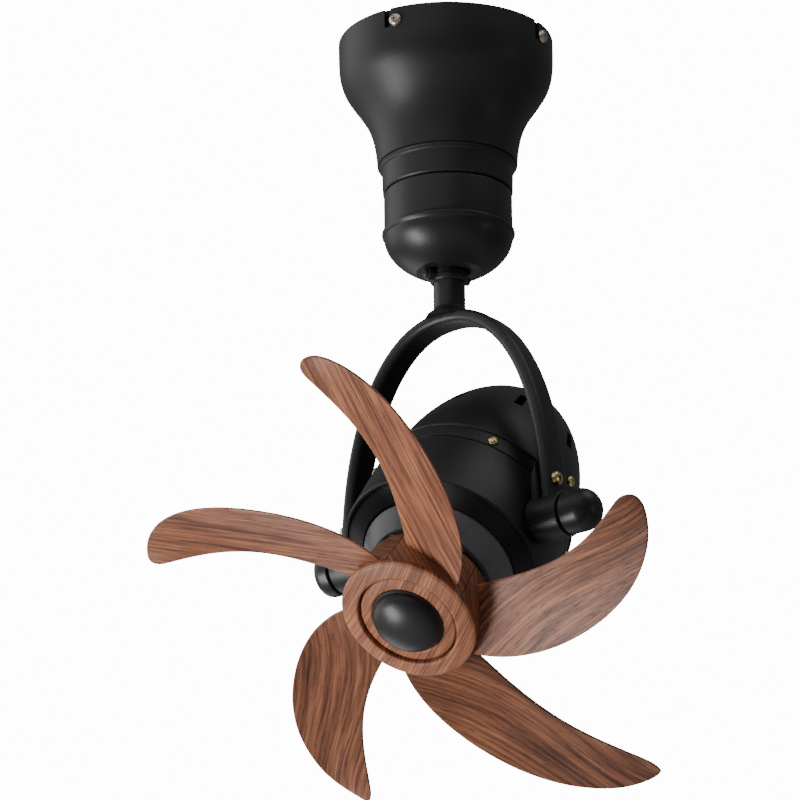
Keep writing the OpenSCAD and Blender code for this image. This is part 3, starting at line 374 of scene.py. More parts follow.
def round_shell(name, outer, inner, cuts, regular=144):
    """A thin round shell between two profiles of (radius, height) in mm.
    Each cut is an opening between two turns in degrees and two heights."""
    turns = sorted({t % 360 for c in cuts for t in c[:2]})
    too_close = 100 / regular
    for i in range(regular):
        t = i * 360 / regular
        if all(abs((t - known + 180) % 360 - 180) > too_close for known in turns):
            turns.append(t)
    turns = sorted(set(turns))
    count = len(turns)

    def is_open(i, j):
        middle = (outer[i][1] + outer[i + 1][1]) / 2
        after = turns[(j + 1) % count] + (360 if j + 1 == count else 0)
        turn = (turns[j] + after) / 2
        return any((turn - c[0]) % 360 < (c[1] - c[0]) % 360 and c[2] < middle < c[3] for c in cuts)

    form = bmesh.new()
    grids = []
    for profile in (outer, inner):
        grids.append([[form.verts.new((
            r * MM * math.cos(math.radians(t)), r * MM * math.sin(math.radians(t)), z * MM))
            for t in turns] for r, z in profile])
    rows = len(outer) - 1
    for i in range(rows):
        for j in range(count):
            k = (j + 1) % count
            if is_open(i, j):
                continue
            for grid in grids:
                form.faces.new((grid[i][j], grid[i][k], grid[i + 1][k], grid[i + 1][j])).smooth = True
            ways = (
                (i == 0 or is_open(i - 1, j), (i, j), (i, k)),
                (i == rows - 1 or is_open(i + 1, j), (i + 1, j), (i + 1, k)),
                (is_open(i, j - 1 if j else count - 1), (i, j), (i + 1, j)),
                (is_open(i, k), (i, k), (i + 1, k)))
            for bare, a, b in ways:
                if bare:
                    form.faces.new((grids[0][a[0]][a[1]], grids[0][b[0]][b[1]],
                                    grids[1][b[0]][b[1]], grids[1][a[0]][a[1]]))
    bmesh.ops.remove_doubles(form, verts=form.verts, dist=1e-6)
    bmesh.ops.recalc_face_normals(form, faces=form.faces)
    mesh = finished(form, name)
    mesh.set_sharp_from_angle(angle=math.radians(35))
    return mesh


def joined(name, meshes, material):
    """One object made of several meshes."""
    form = bmesh.new()
    for mesh in meshes:
        form.from_mesh(mesh)
    mesh = finished(form, name)
    mesh.set_sharp_from_angle(angle=math.radians(35))
    mesh.materials.append(material)
    return placed(name, mesh)


def bell_radius(depth):
    """Radius of the bell's outside at a depth below the ceiling."""
    neck = neck_r + bell_bead
    return neck + (canopy_r - neck) / (1 + (depth / bell_waist) ** bell_power)


bell_coat = powder_coat("bell_coat", 0.012, 0.45)
depths = sorted({i * bell_h / 60 for i in range(61)} | {notch_low, key_low, key_high})
notches = []
for k in range(4):
    turn = bell_screw_az + 90 * k
    notches.append((turn - notch_turn, turn - notch_slot, -notch_low, 1))
    notches.append((turn - notch_turn, turn + notch_key, -key_low, -key_high))
bell_outer = [(bell_radius(d), -d) for d in depths]
bell_inner = [(bell_radius(d) - skin, -d) for d in depths]
bell = joined("bell_sheet", [round_shell("bell_sheet", bell_outer, bell_inner, notches)], bell_coat)
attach(bell, "ceiling_mount")
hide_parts("canopy_bell")


# ---- Bell screws ----
# Four pan-head machine screws of brass-plated steel with a cross recess. They go
# through the notches of the rim into the tabs of the ceiling plate.
def lathe(name, corners, place=Matrix(), steps=128, sweep=None):
    """A solid turned round z from (radius, height, rounding) corners in mm, or the
    part of it between the two turns of sweep. Roundings are marked as edges."""
    profile = []
    marks = []
    for i, corner in enumerate(corners):
        here = Vector(corner[:2])
        rounding = corner[2] if len(corner) > 2 else 0
        if not rounding:
            profile.append(here)
            marks.append(0.0)
            continue
        before = Vector(corners[i - 1][:2]) - here
        after = Vector(corners[(i + 1) % len(corners)][:2]) - here
        half = before.angle(after) / 2
        reach = min(rounding / math.tan(half), 0.48 * before.length, 0.48 * after.length)
        radius = reach * math.tan(half)
        middle = here + (before.normalized() + after.normalized()).normalized() * radius / math.sin(half)
        start = here + before.normalized() * reach - middle
        finish = here + after.normalized() * reach - middle
        bend = start.angle_signed(finish)
        arcs = max(3, round(abs(math.degrees(bend)) / 15))
        for k in range(arcs + 1):
            profile.append(middle + Matrix.Rotation(-bend * k / arcs, 2) @ start)
            marks.append(1.0 if 0 < k < arcs else 0.3)
    first, last = sweep or (0, 360)
    columns = steps if sweep is None else max(8, round(steps * (last - first) / 360)) + 1
    form = bmesh.new()
    layer = form.verts.layers.float.new("edge")
    grid = []
    for j in range(columns):
        turn = math.radians(first + (last - first) * j / (columns if sweep is None else columns - 1))
        ring = []
        for point, mark in zip(profile, marks):
            vert = form.verts.new((
                point.x * MM * math.cos(turn), point.x * MM * math.sin(turn), point.y * MM))
            vert[layer] = mark
            ring.append(vert)
        grid.append(ring)
    count = len(profile)
    for j in range(columns if sweep is None else columns - 1):
        for i in range(count):
            ring, following = grid[j], grid[(j + 1) % columns]
            k = (i + 1) % count
            if profile[i].x < 1e-6 and profile[k].x < 1e-6:
                continue
            form.faces.new((ring[i], following[i], following[k], ring[k])).smooth = True
    if sweep is not None:
        form.faces.new(grid[0])
        form.faces.new(grid[-1])
    bmesh.ops.remove_doubles(form, verts=form.verts, dist=1e-7)
    bmesh.ops.recalc_face_normals(form, faces=form.faces)
    mesh = finished(form, name)
    mesh.transform(place)
    return mesh


def turned(name, corners, material, **how):
    """One turned piece."""
    return joined(name, [lathe(name, corners, **how)], material)


def along(axis, at):
    """Turns a piece drawn up z so that it points along axis from a point in mm."""
    turn = Vector(axis).to_track_quat("Z", "Y").to_matrix().to_4x4()
    return Matrix.Translation(Vector(at) * MM) @ turn


def cross_screw(name, head_d, head_h, shank_d, shank_l):
    """A pan-head screw up z that seats on z = 0, with a cross cut into its crown."""
    r = head_d / 2
    solid = lathe(name, [
        (0, head_h), (r * 0.35, head_h * 0.98, r * 0.2), (r * 0.86, head_h * 0.72, r * 0.35),
        (r, 0.0, 0.15), (shank_d / 2, 0.0, 0.2), (shank_d / 2, -shank_l, 0.3), (0, -shank_l)], steps=40)
    body = placed(name, solid)
    slot_l = r * 1.15 * MM
    slot_w = r * 0.24 * MM
    slot_z = head_h * MM * 0.95
    form = bmesh.new()
    for turn in (0, 90):
        blade = bmesh.ops.create_cube(form, size=1)["verts"]
        bmesh.ops.scale(form, verts=blade, vec=(slot_l, slot_w, head_h * MM))
        bmesh.ops.translate(form, verts=blade, vec=(0, 0, slot_z))
        tip = [v for v in blade if v.co.z < slot_z]
        bmesh.ops.scale(form, verts=tip, vec=(0.6, 0.5, 1))
        bmesh.ops.rotate(form, verts=blade, matrix=Matrix.Rotation(math.radians(turn), 3, "Z"))
    bit = placed(name + "_bit", finished(form, name + "_bit"))
    cut = body.modifiers.new("recess", "BOOLEAN")
    cut.operation = "DIFFERENCE"
    cut.solver = "EXACT"
    cut.use_self = True
    cut.object = bit
    bpy.context.view_layer.update()
    made = bpy.data.meshes.new_from_object(body.evaluated_get(bpy.context.evaluated_depsgraph_get()))
    bpy.data.objects.remove(body)
    bpy.data.objects.remove(bit)
    return made


def set_out(name, screw, spots, material):
    """Copies one screw to each (axis, point) of spots as one object."""
    copies = []
    for axis, at in spots:
        copy = screw.copy()
        copy.transform(along(axis, at))
        copies.append(copy)
    return joined(name, copies, material)


def round_way(turn):
    """The level direction at a turn in degrees."""
    return Vector((math.cos(math.radians(turn)), math.sin(math.radians(turn)), 0))


dull_brass = metal("dull_brass", (0.66, 0.54, 0.46), (0.42, 0.32, 0.25), 0.32, stretch=1.0, size=900.0)
rim_r = bell_radius(bell_screw_drop) + 0.1
rim_spots = []
for k in range(4):
    way = round_way(bell_screw_az + 90 * k)
    rim_spots.append((way, way * rim_r + Vector((0, 0, -bell_screw_drop))))
rim_screw = cross_screw("rim_screw", 9.6, 3.2, 4, 8)
bell_screws = set_out("rim_screws", rim_screw, rim_spots, dull_brass)
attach(bell_screws, "ceiling_mount")
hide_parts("bell_screws")


# ---- Neck ring ----
# A straight ring of the same coated steel, pressed on under the bell. A bead runs
# round its top, and its lower edge stands just clear of the turning band.
neck_h = 21.0
groove_z = -(bell_h + neck_h)
base_top = groove_z + 16
neck = turned("neck_ring_turned", [
    (neck_r + 2.2, -bell_h, 0.3), (neck_r + 2.2, -bell_h - 1.4, 0.5), (neck_r + 1.4, -bell_h - 1.8, 0.2),
    (neck_r + 1.4, -bell_h - 3.2, 0.5), (neck_r + 0.4, -bell_h - 4.0, 0.4), (neck_r, groove_z + 1, 0.4),
    (neck_r - 0.6, groove_z, 0.2), (neck_r - skin, groove_z, 0.2), (neck_r - skin, base_top + 1),
    (neck_r - skin - 1, base_top + 1), (neck_r - skin - 1, -bell_h)], bell_coat)
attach(neck, "ceiling_mount")
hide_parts("neck_ring")


# ---- Turning neck: bearing, gear and carrier ----
# Inside the band a ground steel bearing and spindle carry the fan, and a moulded
# ring gear meets the motor's pinion. Four bolts hold the stem's flange.
turn_gap = 1.4
band_h = 27.1
band_r = neck_r - 0.7
band_top = groove_z - turn_gap
band_bottom = band_top - band_h
carrier_top = groove_z - 2.2
carrier_t = 3.0
bolt_steel = metal("bolt_steel", (0.50, 0.50, 0.51), (0.34, 0.34, 0.35), 0.32, stretch=1.0)
refinish(turned_steel, "neck_bearing_inner", "swivel_spindle", "spindle_nut")
refinish(zinc, "swivel_carrier")
refinish(bolt_steel, "stem_bolts")
refinish(natural_nylon, "slip_ring_rotor")
# Painted shade: the ring gear takes the dark case plastic so that the gap under the neck ring reads dark.
refinish(dark_case, "ring_gear")


# ---- Swivel band and bowl ----
# A rolled band screwed to the carrier, and a spun bowl that hooks under it with a
# small lip. Both are coated like the bell, and the stem comes out of the bowl.
shelf = carrier_top - carrier_t
inside = band_r - skin
band = turned("swivel_band_rolled", [
    (inside, band_top, 0.2), (band_r, band_top, 0.6), (band_r, band_bottom, 0.4),
    (inside, band_bottom), (inside, band_bottom - 4), (inside - 1.6, band_bottom - 4),
    (inside - 1.6, shelf - 1.4), (band_r - 9, shelf - 1.4), (band_r - 9, shelf), (inside, shelf)],
    bell_coat)
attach(band, "swivel")
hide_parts("swivel_band")

bowl_h = 29.5
bowl_curve = 34.5
bowl_r = 46.2
bowl_rim = 4.4
bowl_power = 1.85
bowl_bottom = band_bottom - bowl_h
collar_r = 13.1


def bowl_radius(depth, wall):
    """Radius of the bowl at a depth below the band, and a wall's thickness further in."""
    u = min(1, max(0, depth - bowl_rim) / (bowl_curve - bowl_rim - wall))
    return (bowl_r - 1.6 - wall) * (1 - u ** bowl_power) ** (1 / bowl_power)


steps = 40
lip_top = band_bottom - 0.3
bowl_out = [(bowl_radius(d, 0), band_bottom - d) for d in
            [bowl_rim + (bowl_h - 0.8 - bowl_rim) * i / steps for i in range(steps + 1)]]
bowl_in = [(bowl_radius(d, skin), band_bottom - d) for d in
           [bowl_rim + (bowl_h - skin - bowl_rim) * i / steps for i in range(steps, -1, -1)]]
bowl_coat = powder_coat("bowl_coat", 0.012, 0.39)
bowl = turned("swivel_bowl_spun", [
    (bowl_r - 1.6 - skin, lip_top), (bowl_r - 0.2, lip_top, 0.7), (bowl_r, lip_top - 1.6, 0.7),
    (bowl_r - 0.8, lip_top - 3.2, 0.5), *bowl_out, (bowl_radius(bowl_h, 0), bowl_bottom, 0.4),
    (collar_r + 0.4, bowl_bottom, 0.2), (collar_r + 0.4, bowl_bottom + skin), *bowl_in], bowl_coat)
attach(bowl, "swivel")
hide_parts("swivel_bowl")


# ---- Stem, collar and cross screw ----
# A drawn steel tube with a bolted flange. A turned collar with a lug clamps round it
# at the bowl with one screw and nut, all of it coated black.
stem_r = 11.0
stem_wall = 3.0
stem_top = carrier_top - carrier_t - 3.0
stem_show = 31.0
yoke_top = bowl_bottom - stem_show
stem_joint = yoke_top + 4
collar_top = bowl_bottom + 5
collar_low = collar_top - 13.5
collar_screw_z = bowl_bottom - 4
lug_reach = 17.6
collar_screw_az = 246.6
collar_way = round_way(collar_screw_az)
flange_r = 30.0
flange_t = 3.0
stem_coat = powder_coat("stem_coat", 0.012, 0.38, peel=900.0)
stem = turned("stem_tube", [
    (stem_r - stem_wall, stem_joint), (stem_r, stem_joint), (stem_r, stem_top - flange_t, 1.0),
    (flange_r, stem_top - flange_t, 0.4), (flange_r, stem_top, 0.4), (stem_r - stem_wall, stem_top)],
    stem_coat, steps=96)
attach(stem, "swivel")
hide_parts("stem")

screw_z = Vector((0, 0, collar_screw_z))
lug_lift = bowl_bottom - 0.4 - collar_screw_z


def skinned(form, rings):
    """Closes a row of rings of points with faces between them and one at each end."""
    for ring, following in zip(rings, rings[1:]):
        for j in range(len(ring)):
            k = (j + 1) % len(ring)
            corners = (ring[j], ring[k], following[k], following[j])
            if len({tuple(round(c * 1e7) for c in v.co) for v in corners}) > 2:
                form.faces.new(corners).smooth = True
    form.faces.new(rings[0])
    form.faces.new(rings[-1])


def lug_mesh(name, radius, reach):
    """A round lug up z whose side is cut flat above, where it meets the bowl."""
    steps = 40
    form = bmesh.new()
    layer = form.verts.layers.float.new("edge")
    rings = []
    for height, size, mark in ((6, radius, 0), (reach - 0.6, radius, 0.4), (reach - 0.2, radius - 0.2, 1),
                               (reach, radius - 0.7, 0.4)):
        ring = []
        for k in range(steps):
            turn = 2 * math.pi * k / steps
            rise = min(size * math.sin(turn), lug_lift)
            vert = form.verts.new((size * math.cos(turn) * MM, rise * MM, height * MM))
            vert[layer] = mark
            ring.append(vert)
        rings.append(ring)
    skinned(form, rings)
    bmesh.ops.recalc_face_normals(form, faces=form.faces)
    return finished(form, name)


collar_ring = lathe("collar_ring", [
    (stem_r + 0.1, collar_low, 0.2), (collar_r - 1.2, collar_low, 0.4), (collar_r, collar_low + 1.2, 0.6),
    (collar_r, collar_low + 4, 0.3), (collar_r - 0.5, collar_low + 4.6, 0.3),
    (collar_r - 0.5, collar_top - 1, 0.4), (collar_r - 1.2, collar_top, 0.4), (stem_r + 0.1, collar_top)],
    steps=96)
collar_lug = lug_mesh("collar_lug", 4.4, lug_reach)
collar_lug.transform(along(collar_way, screw_z))
collar = joined("collar_turned", [collar_ring, collar_lug], stem_coat)
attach(collar, "swivel")
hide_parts("stem_collar")


def hex_nut(name, across_r, height):
    """A six-sided nut up z with chamfered corners."""
    form = bmesh.new()
    bmesh.ops.create_cone(form, cap_ends=True, segments=6, radius1=across_r * MM,
                          radius2=across_r * MM, depth=height * MM)
    bmesh.ops.translate(form, verts=form.verts, vec=(0, 0, height * MM / 2))
    bmesh.ops.bevel(form, geom=form.edges[:], offset=0.3 * MM, segments=2, affect="EDGES")
    return finished(form, name)


cross_bolt = cross_screw("cross_bolt", 6.8, 3, 3.5, lug_reach + collar_r + 0.5)
cross_bolt.transform(along(collar_way, collar_way * (lug_reach + 0.05) + screw_z))
cross_nut = hex_nut("cross_nut", 3.4, 2.5)
cross_nut.transform(along(-collar_way, -collar_way * (collar_r + 0.1) + screw_z))
black_bolt = powder_coat("black_bolt", 0.014, 0.3, peel=1400.0, wear=0.8)
collar_screw = joined("collar_cross_screw", [cross_bolt, cross_nut], black_bolt)
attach(collar_screw, "swivel")
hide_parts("collar_screw")


# ---- Yoke ----
# One strap of steel with rolled edges, bent into an arch, and welded to the stem
# with a small fillet. Its feet end in a round seat over each pivot barrel.
yoke_h = 166.0
pivot_drop = yoke_h - yoke_top
pivot = Matrix.Translation((0, 0, -pivot_drop * MM))
head_r = 71.0
leg_gap = 9.0
strap_w = 22.5
strap_t = 9.5
arch_power = 2.2
arch_x = head_r + leg_gap + strap_t / 2
arch_z = yoke_h - strap_t / 2
leg_out = arch_x + strap_t / 2
barrel_r = 15.75
barrel_in = head_r + 0.6


def arch_slope(x, z):
    """How far the arch's outward way leans from up at a point of its middle line."""
    return math.atan2((x / arch_x) ** (arch_power - 1) / arch_x, (z / arch_z) ** (arch_power - 1) / arch_z)


def arch_at(turn):
    """Place and slope of the arch's middle line, from its crown (0) to a foot."""
    x = arch_x * math.sin(turn) ** (2 / arch_power)
    z = arch_z * max(0, math.cos(turn)) ** (2 / arch_power)
    return x, z, arch_slope(x, z)


def leg_at(height):
    """Place and slope of the arch's middle line at a height over the pivots."""
    x = arch_x * (1 - (height / arch_z) ** arch_power) ** (1 / arch_power)
    return x, height, arch_slope(x, height)


def off_strap(place, out):
    """The point that lies a distance outwards from a place on the middle line."""
    return place[0] + out * math.sin(place[2]), place[1] + out * math.cos(place[2])


def strap_mesh(name):
    """The strap swept along its arch, down to where each foot meets its barrel."""
    edge_steps = 12
    half_steps = 72
    section = []
    for side in (1, -1):
        for i in range(edge_steps + 1):
            turn = side * math.radians(90 - i * 180 / edge_steps)
            section.append((strap_t / 2 * math.sin(turn),
                            side * ((strap_w - strap_t) / 2 + strap_t / 2 * math.cos(turn))))
    half = [arch_at(math.pi / 2 * i / half_steps) for i in range(half_steps + 1)]
    half = [p for p in half if p[1] > 2]
    stations = [(-x, z, -t) for x, z, t in reversed(half[1:])] + half
    form = bmesh.new()
    layer = form.verts.layers.float.new("edge")
    rings = []
    for place in stations:
        ring = []
        for out, across in section:
            x, z = off_strap(place, out)
            dip = math.sqrt(max(0, (barrel_r + 0.1) ** 2 - across ** 2))
            vert = form.verts.new((x * MM, across * MM, max(z, dip) * MM))
            vert[layer] = max(0.0, min(1.0, (abs(across) - strap_w * 0.4) / (strap_w * 0.1)))
            ring.append(vert)
        rings.append(ring)
    skinned(form, rings)
    bmesh.ops.remove_doubles(form, verts=form.verts, dist=1e-6)
    bmesh.ops.recalc_face_normals(form, faces=form.faces)
    return finished(form, name)


yoke_coat = powder_coat("yoke_coat", 0.012, 0.42, wear=0.25)
weld = lathe("weld", [
    (0, yoke_h - 3), (stem_r + 6, yoke_h - 3), (stem_r + 4.6, yoke_h - 0.6, 2),
    (stem_r + 2.2, yoke_h + 0.6, 2), (stem_r + 0.8, yoke_h + 2.2, 2), (stem_r + 0.05, yoke_h + 4),
    (0, yoke_h + 4)], steps=96)
arch_parts = [strap_mesh("yoke_strap"), weld]
for mesh in arch_parts:
    mesh.transform(pivot)
yoke = joined("yoke_strap", arch_parts, yoke_coat)
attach(yoke, "swivel")
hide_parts("yoke_arch")


# ---- Pivot blocks ----
# A cast barrel with a tongue on each side. The tongue is screwed to the inside of
# the leg, and the barrel carries the stud on which the head tilts.
knob_barrel_end = leg_out + 6.6
plain_barrel_end = leg_out + 6.4
tongue_in = barrel_in + 2.4
tongue_h = 37.7
stud_r = 6.0
tilt_axis = Matrix.Rotation(math.radians(90), 4, "Y")


def pivot_block(name, barrel_end):
    """Barrel and tongue for the side where x > 0."""
    barrel = lathe(name, [
        (stud_r + 0.05, barrel_in), (barrel_r, barrel_in, 0.8), (barrel_r, barrel_end, 0.8),
        (stud_r + 0.05, barrel_end)], place=tilt_axis, steps=96)
    face = [off_strap(leg_at(tongue_h * i / 12), -(strap_t + 0.1) / 2) for i in range(13)]
    outline = [(tongue_in, 2), *[p for p in face if p[1] > 2], (face[-1][0] - 0.6, face[-1][1]),
               (tongue_in, tongue_h - 8)]
    form = bmesh.new()
    front = [form.verts.new((x * MM, -strap_w / 2 * MM, z * MM)) for x, z in outline]
    rear = [form.verts.new((x * MM, strap_w / 2 * MM, z * MM)) for x, z in outline]
    form.faces.new(front)
    form.faces.new(list(reversed(rear)))
    for i in range(len(outline)):
        k = (i + 1) % len(outline)
        form.faces.new((front[k], front[i], rear[i], rear[k]))
    bmesh.ops.recalc_face_normals(form, faces=form.faces)
    sharp = [e for e in form.edges if e.calc_face_angle(0) > math.radians(25)]
    bmesh.ops.bevel(form, geom=sharp, offset=0.8 * MM, segments=3, affect="EDGES")
    tongue = finished(form, name + "_tongue")
    for poly in tongue.polygons:
        poly.use_smooth = True
    return [barrel, tongue]


cast_coat = powder_coat("cast_coat", 0.012, 0.4, peel=600.0, depth=0.00004)
for side, label, barrel_end in ((1, "right", knob_barrel_end), (-1, "left", plain_barrel_end)):
    parts = pivot_block("pivot_block_" + label, barrel_end)
    for mesh in parts:
        if side < 0:
            mesh.transform(Matrix.Rotation(math.pi, 4, "Z"))
        mesh.transform(pivot)
    block = joined("pivot_barrel_" + label, parts, cast_coat)
    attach(block, "swivel")
    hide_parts("pivot_block_" + label)


# ---- Leg screws ----
# Two large brass pan-head screws, one through each leg into the tongue behind it.
leg_screw_z = 25.5
leg_screw_fwd = 3.0
leg_screw_d = 10.4
leg_face = off_strap(leg_at(leg_screw_z - leg_screw_d / 2), strap_t / 2)[0] + 0.1
leg_screw = cross_screw("leg_screw", leg_screw_d, 3.6, 4.5, leg_face - tongue_in - 1.5)
leg_spots = [(Vector((s, 0, 0)), Vector((s * leg_face, -leg_screw_fwd, leg_screw_z - pivot_drop)))
             for s in (1, -1)]
brass = metal("brass_plate", (0.80, 0.62, 0.28), (0.46, 0.32, 0.12), 0.22, stretch=1.0, size=900.0)
leg_screws = set_out("leg_screw_pair", leg_screw, leg_spots, brass)
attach(leg_screws, "swivel")
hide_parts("leg_screws")


# ---- Rear dome ----
# A deep-drawn steel dome over the motor's back, coated black. Its rim is rolled
# outwards, and eight air slots are punched round its shoulder.
rest_tilt = 52.8
head = pivot @ Matrix.Rotation(math.radians(90 + rest_tilt), 4, "X")
head_wall = 2.0
seam_front = 26.5
seam_back = seam_front + 12.4
dome_start = seam_back + 5.7
dome_depth = 108.5
dome_r = head_r - 3.88
dome_back = 148.0
dome_power = 1.85
vent_mid = 97.0
vent_l = 17.5
vent_half_w = 3.0


def dome_radius(distance, wall):
    """Radius of the dome at a distance behind the pivots, and a wall's thickness further in."""
    u = min(1, max(0, distance - dome_start) / (dome_depth - wall))
    return (dome_r - wall) * (1 - u ** dome_power) ** (1 / dome_power)


vent_turn = math.degrees(vent_half_w / dome_radius(vent_mid, 0))
vents = [(k * 45 - vent_turn, k * 45 + vent_turn, -vent_mid - vent_l / 2, -vent_mid + vent_l / 2)
         for k in range(8)]
shell_marks = {dome_start + (dome_back - 4 - dome_start) * i / 64 for i in range(65)}
shell_marks = {b for b in shell_marks if all(abs(b - vent_mid - s * vent_l / 2) > 0.6 for s in (-1, 1))}
shell_marks = sorted(shell_marks | {vent_mid - vent_l / 2, vent_mid + vent_l / 2})
tail_r = dome_radius(dome_back - 4, 0)
dome_out = [(dome_radius(b, 0), -b) for b in shell_marks]
dome_in = [(dome_radius(b, head_wall), -b) for b in shell_marks]
dome_shell = round_shell("dome_drawn", dome_out, dome_in, vents, regular=192)
rim = lathe("dome_rim", [
    (head_r - 4.4, -seam_back), (head_r, -seam_back, 0.5), (head_r + 0.7, -seam_back - 1.0, 0.6),
    (head_r + 0.4, -seam_back - 2.2, 0.6), (head_r - 1.8, -seam_back - 2.8, 0.8),
    (dome_r, -dome_start + 1.4, 0.8), (dome_r, -dome_start - 0.4), (dome_r - head_wall, -dome_start - 0.4),
    (dome_r - head_wall, -seam_back - 3)], steps=192)
tail = lathe("dome_tail", [
    (tail_r, -dome_back + 4), (tail_r - 3, -dome_back + 1.2, 3), (tail_r - 7, -dome_back, 3),
    (0, -dome_back), (0, -dome_back + head_wall), (tail_r - 3, -dome_back + head_wall + 2)], steps=192)
dome_coat = powder_coat("dome_coat", 0.012, 0.42)
dome = joined("dome_drawn", [dome_shell, rim, tail], dome_coat)
dome.data.transform(head)
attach(dome, "head")
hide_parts("rear_dome")


# ---- Seam ring and its screws ----
# A rolled ring that joins the dome to the front shell. Four small brass screws
# hold it from outside.
seam_gap = 1.1
seam_screw_back = 6.2
seam_band = turned("seam_ring_rolled", [
    (head_r - 0.4, -seam_back + 0.1, 0.3), (head_r - 0.4, -seam_front - seam_gap, 0.5),
    (head_r - head_wall - 0.1, -seam_front - seam_gap), (head_r - head_wall - 0.1, -seam_front + 7),
    (head_r - 4.4, -seam_front + 7), (head_r - 4.4, -seam_back + 0.1)],
    dome_coat, place=head, steps=192)
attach(seam_band, "head")
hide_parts("seam_ring")

turn_only = head.to_3x3().to_4x4()
small_screw_d = 7.6
small_screw = cross_screw("small_screw", small_screw_d, 2.4, 4, 5.5)


def on_head(turn, radius, height):
    """An (axis, point) on the head's side, for set_out."""
    way = round_way(turn)
    at = head @ ((way * radius + Vector((0, 0, height))) * MM)
    return turn_only @ way, at / MM


seam_spots = [on_head(45 + 90 * k, head_r - 0.3, -seam_front - seam_screw_back) for k in range(4)]
seam_screws = set_out("seam_screw_set", small_screw, seam_spots, brass)
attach(seam_screws, "head")
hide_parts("seam_screws")


# ---- Trunnion frame and its screws ----
# A pressed frame inside the head carries the motor's tube and the tilt studs. Four
# brass screws go through the dome into its edge.
refinish(zinc, "trunnion_frame", "motor_tube")
refinish(turned_steel, "pivot_stud_right", "pivot_stud_left", "motor_bearing_outer")
trunnion_h = 62.0
screw_spread = 10
long_screw = cross_screw("long_screw", small_screw_d, 2.4, 4, 14)
seat_r = dome_radius(trunnion_h - small_screw_d / 2, 0) + 0.1
frame_spots = [on_head(side + spread, seat_r, -trunnion_h)
               for side in (0, 180) for spread in (-screw_spread, screw_spread)]
trunnion_screws = set_out("trunnion_screw_set", long_screw, frame_spots, brass)
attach(trunnion_screws, "head")
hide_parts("trunnion_screws")


# ---- Front shell and front plate ----
# A short steel cylinder round the motor, with a rolled lip in front. A dark pressed
# plate closes it round the turning cone.
front_h = 21.9
cone_lo = front_h + 4.9
cone_r = head_r - 16.8
shell_coat = powder_coat("shell_coat", 0.012, 0.42)
shell_body = lathe("front_shell_rolled", [
    (head_r - head_wall, -seam_front), (head_r, -seam_front, 0.5), (head_r, front_h - 1.2, 1.2),
    (head_r - 1.2, front_h, 0.8), (head_r - head_wall - 0.8, front_h - 0.2, 0.4),
    (head_r - head_wall - 0.8, front_h - 3), (head_r - head_wall, front_h - 4)], steps=192)
boss_in = 61.6
bosses = []
for side in (1, -1):
    boss = lathe("boss", [
        (stud_r + 0.2, boss_in), (barrel_r - 3, boss_in), (barrel_r - 3, head_r + 0.2, 0.2),
        (stud_r + 0.2, head_r + 0.2)], place=tilt_axis, steps=64)
    if side < 0:
        boss.transform(Matrix.Rotation(math.pi, 4, "Z"))
    bosses.append(boss)
front_shell = joined("front_shell_rolled", [shell_body, *bosses], shell_coat)
front_shell.data.transform(head)
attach(front_shell, "head")
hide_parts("front_shell")

plate_coat = powder_coat("plate_coat", 0.006, 0.55)
front_plate = turned("front_plate_pressed", [
    (head_r - head_wall - 1, front_h - 3.4), (head_r - head_wall - 1, front_h - 1.4, 0.5),
    (cone_r + 1.4, cone_lo, 0.8), (cone_r + 0.7, cone_lo - 0.6, 0.3), (cone_r + 0.7, cone_lo - 7),
    (cone_r + 2.4, cone_lo - 7), (cone_r + 2.4, cone_lo - 2.2)], plate_coat, place=head, steps=192)
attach(front_plate, "head")
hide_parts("front_plate")


# ---- Motor ----
# An outer-rotor motor: laminated core with enamelled copper coils on the fixed
# tube, and a pressed bell with a ring of magnets that turns round it.
laminations = metal("laminations", (0.40, 0.41, 0.43), (0.26, 0.27, 0.29), 0.4, stretch=4.0, size=900.0)
copper = metal("enamelled_copper", (0.72, 0.28, 0.12), (0.50, 0.16, 0.06), 0.25, stretch=3.0, size=800.0)
magnet = metal("magnet", (0.16, 0.16, 0.17), (0.10, 0.10, 0.11), 0.45, stretch=1.0)
board_mask = plastic("board_mask", (0.022, 0.105, 0.045), (0.014, 0.075, 0.030), 0.35, grain=300.0)
rotor_steel = metal("rotor_steel", (0.48, 0.49, 0.50), (0.34, 0.34, 0.35), 0.34)
refinish(laminations, "stator_core")
refinish(copper, "stator_windings")
refinish(magnet, "rotor_magnets")
refinish(board_mask, "driver_board")
refinish(natural_nylon, "board_posts")
refinish(rotor_steel, "rotor_bell")
refinish(turned_steel, "rotor_shaft", "motor_bearing_inner")


# ---- Tilt knob, end cap and washers ----
# The knob clamps the tilt from the near side, and a plain, flatter cap closes the
# far one. A thin fibre washer lies in the groove beside each barrel.
def quarter(middle_r, middle_z, wide, high):
    """A quarter of an ellipse, from its side up to its top, as (radius, height) in mm."""
    return [(middle_r + wide * math.cos(math.radians(t)), middle_z + high * math.sin(math.radians(t)))
            for t in range(0, 91, 5)]


def grip(name, grip_r, length, round_l):
    """A round grip up z with a domed end and a blind bore for the stud."""
    bore_r = 5.05
    roof = 5
    dome = quarter(grip_r - round_l, length - round_l, round_l, round_l)
    return lathe(name, [(bore_r, 0), (grip_r, 0, 1.2), *dome, (0, length), (0, length - roof),
                        (bore_r, length - roof)], steps=96)


knob_in = knob_barrel_end + 1.2
cap_in = plain_barrel_end + 1.2
knob_finish = powder_coat("knob_finish", 0.012, 0.36, peel=1000.0)
knob_r = 14.8
knob_l = 24
knob_mesh = grip("knob_turned", knob_r, knob_l, 0.9 * knob_r)
knob_mesh.transform(pivot @ Matrix.Translation((knob_in * MM, 0, 0)) @ tilt_axis)
knob = joined("knob_turned", [knob_mesh], knob_finish)
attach(knob, "knob")
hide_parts("tilt_knob")

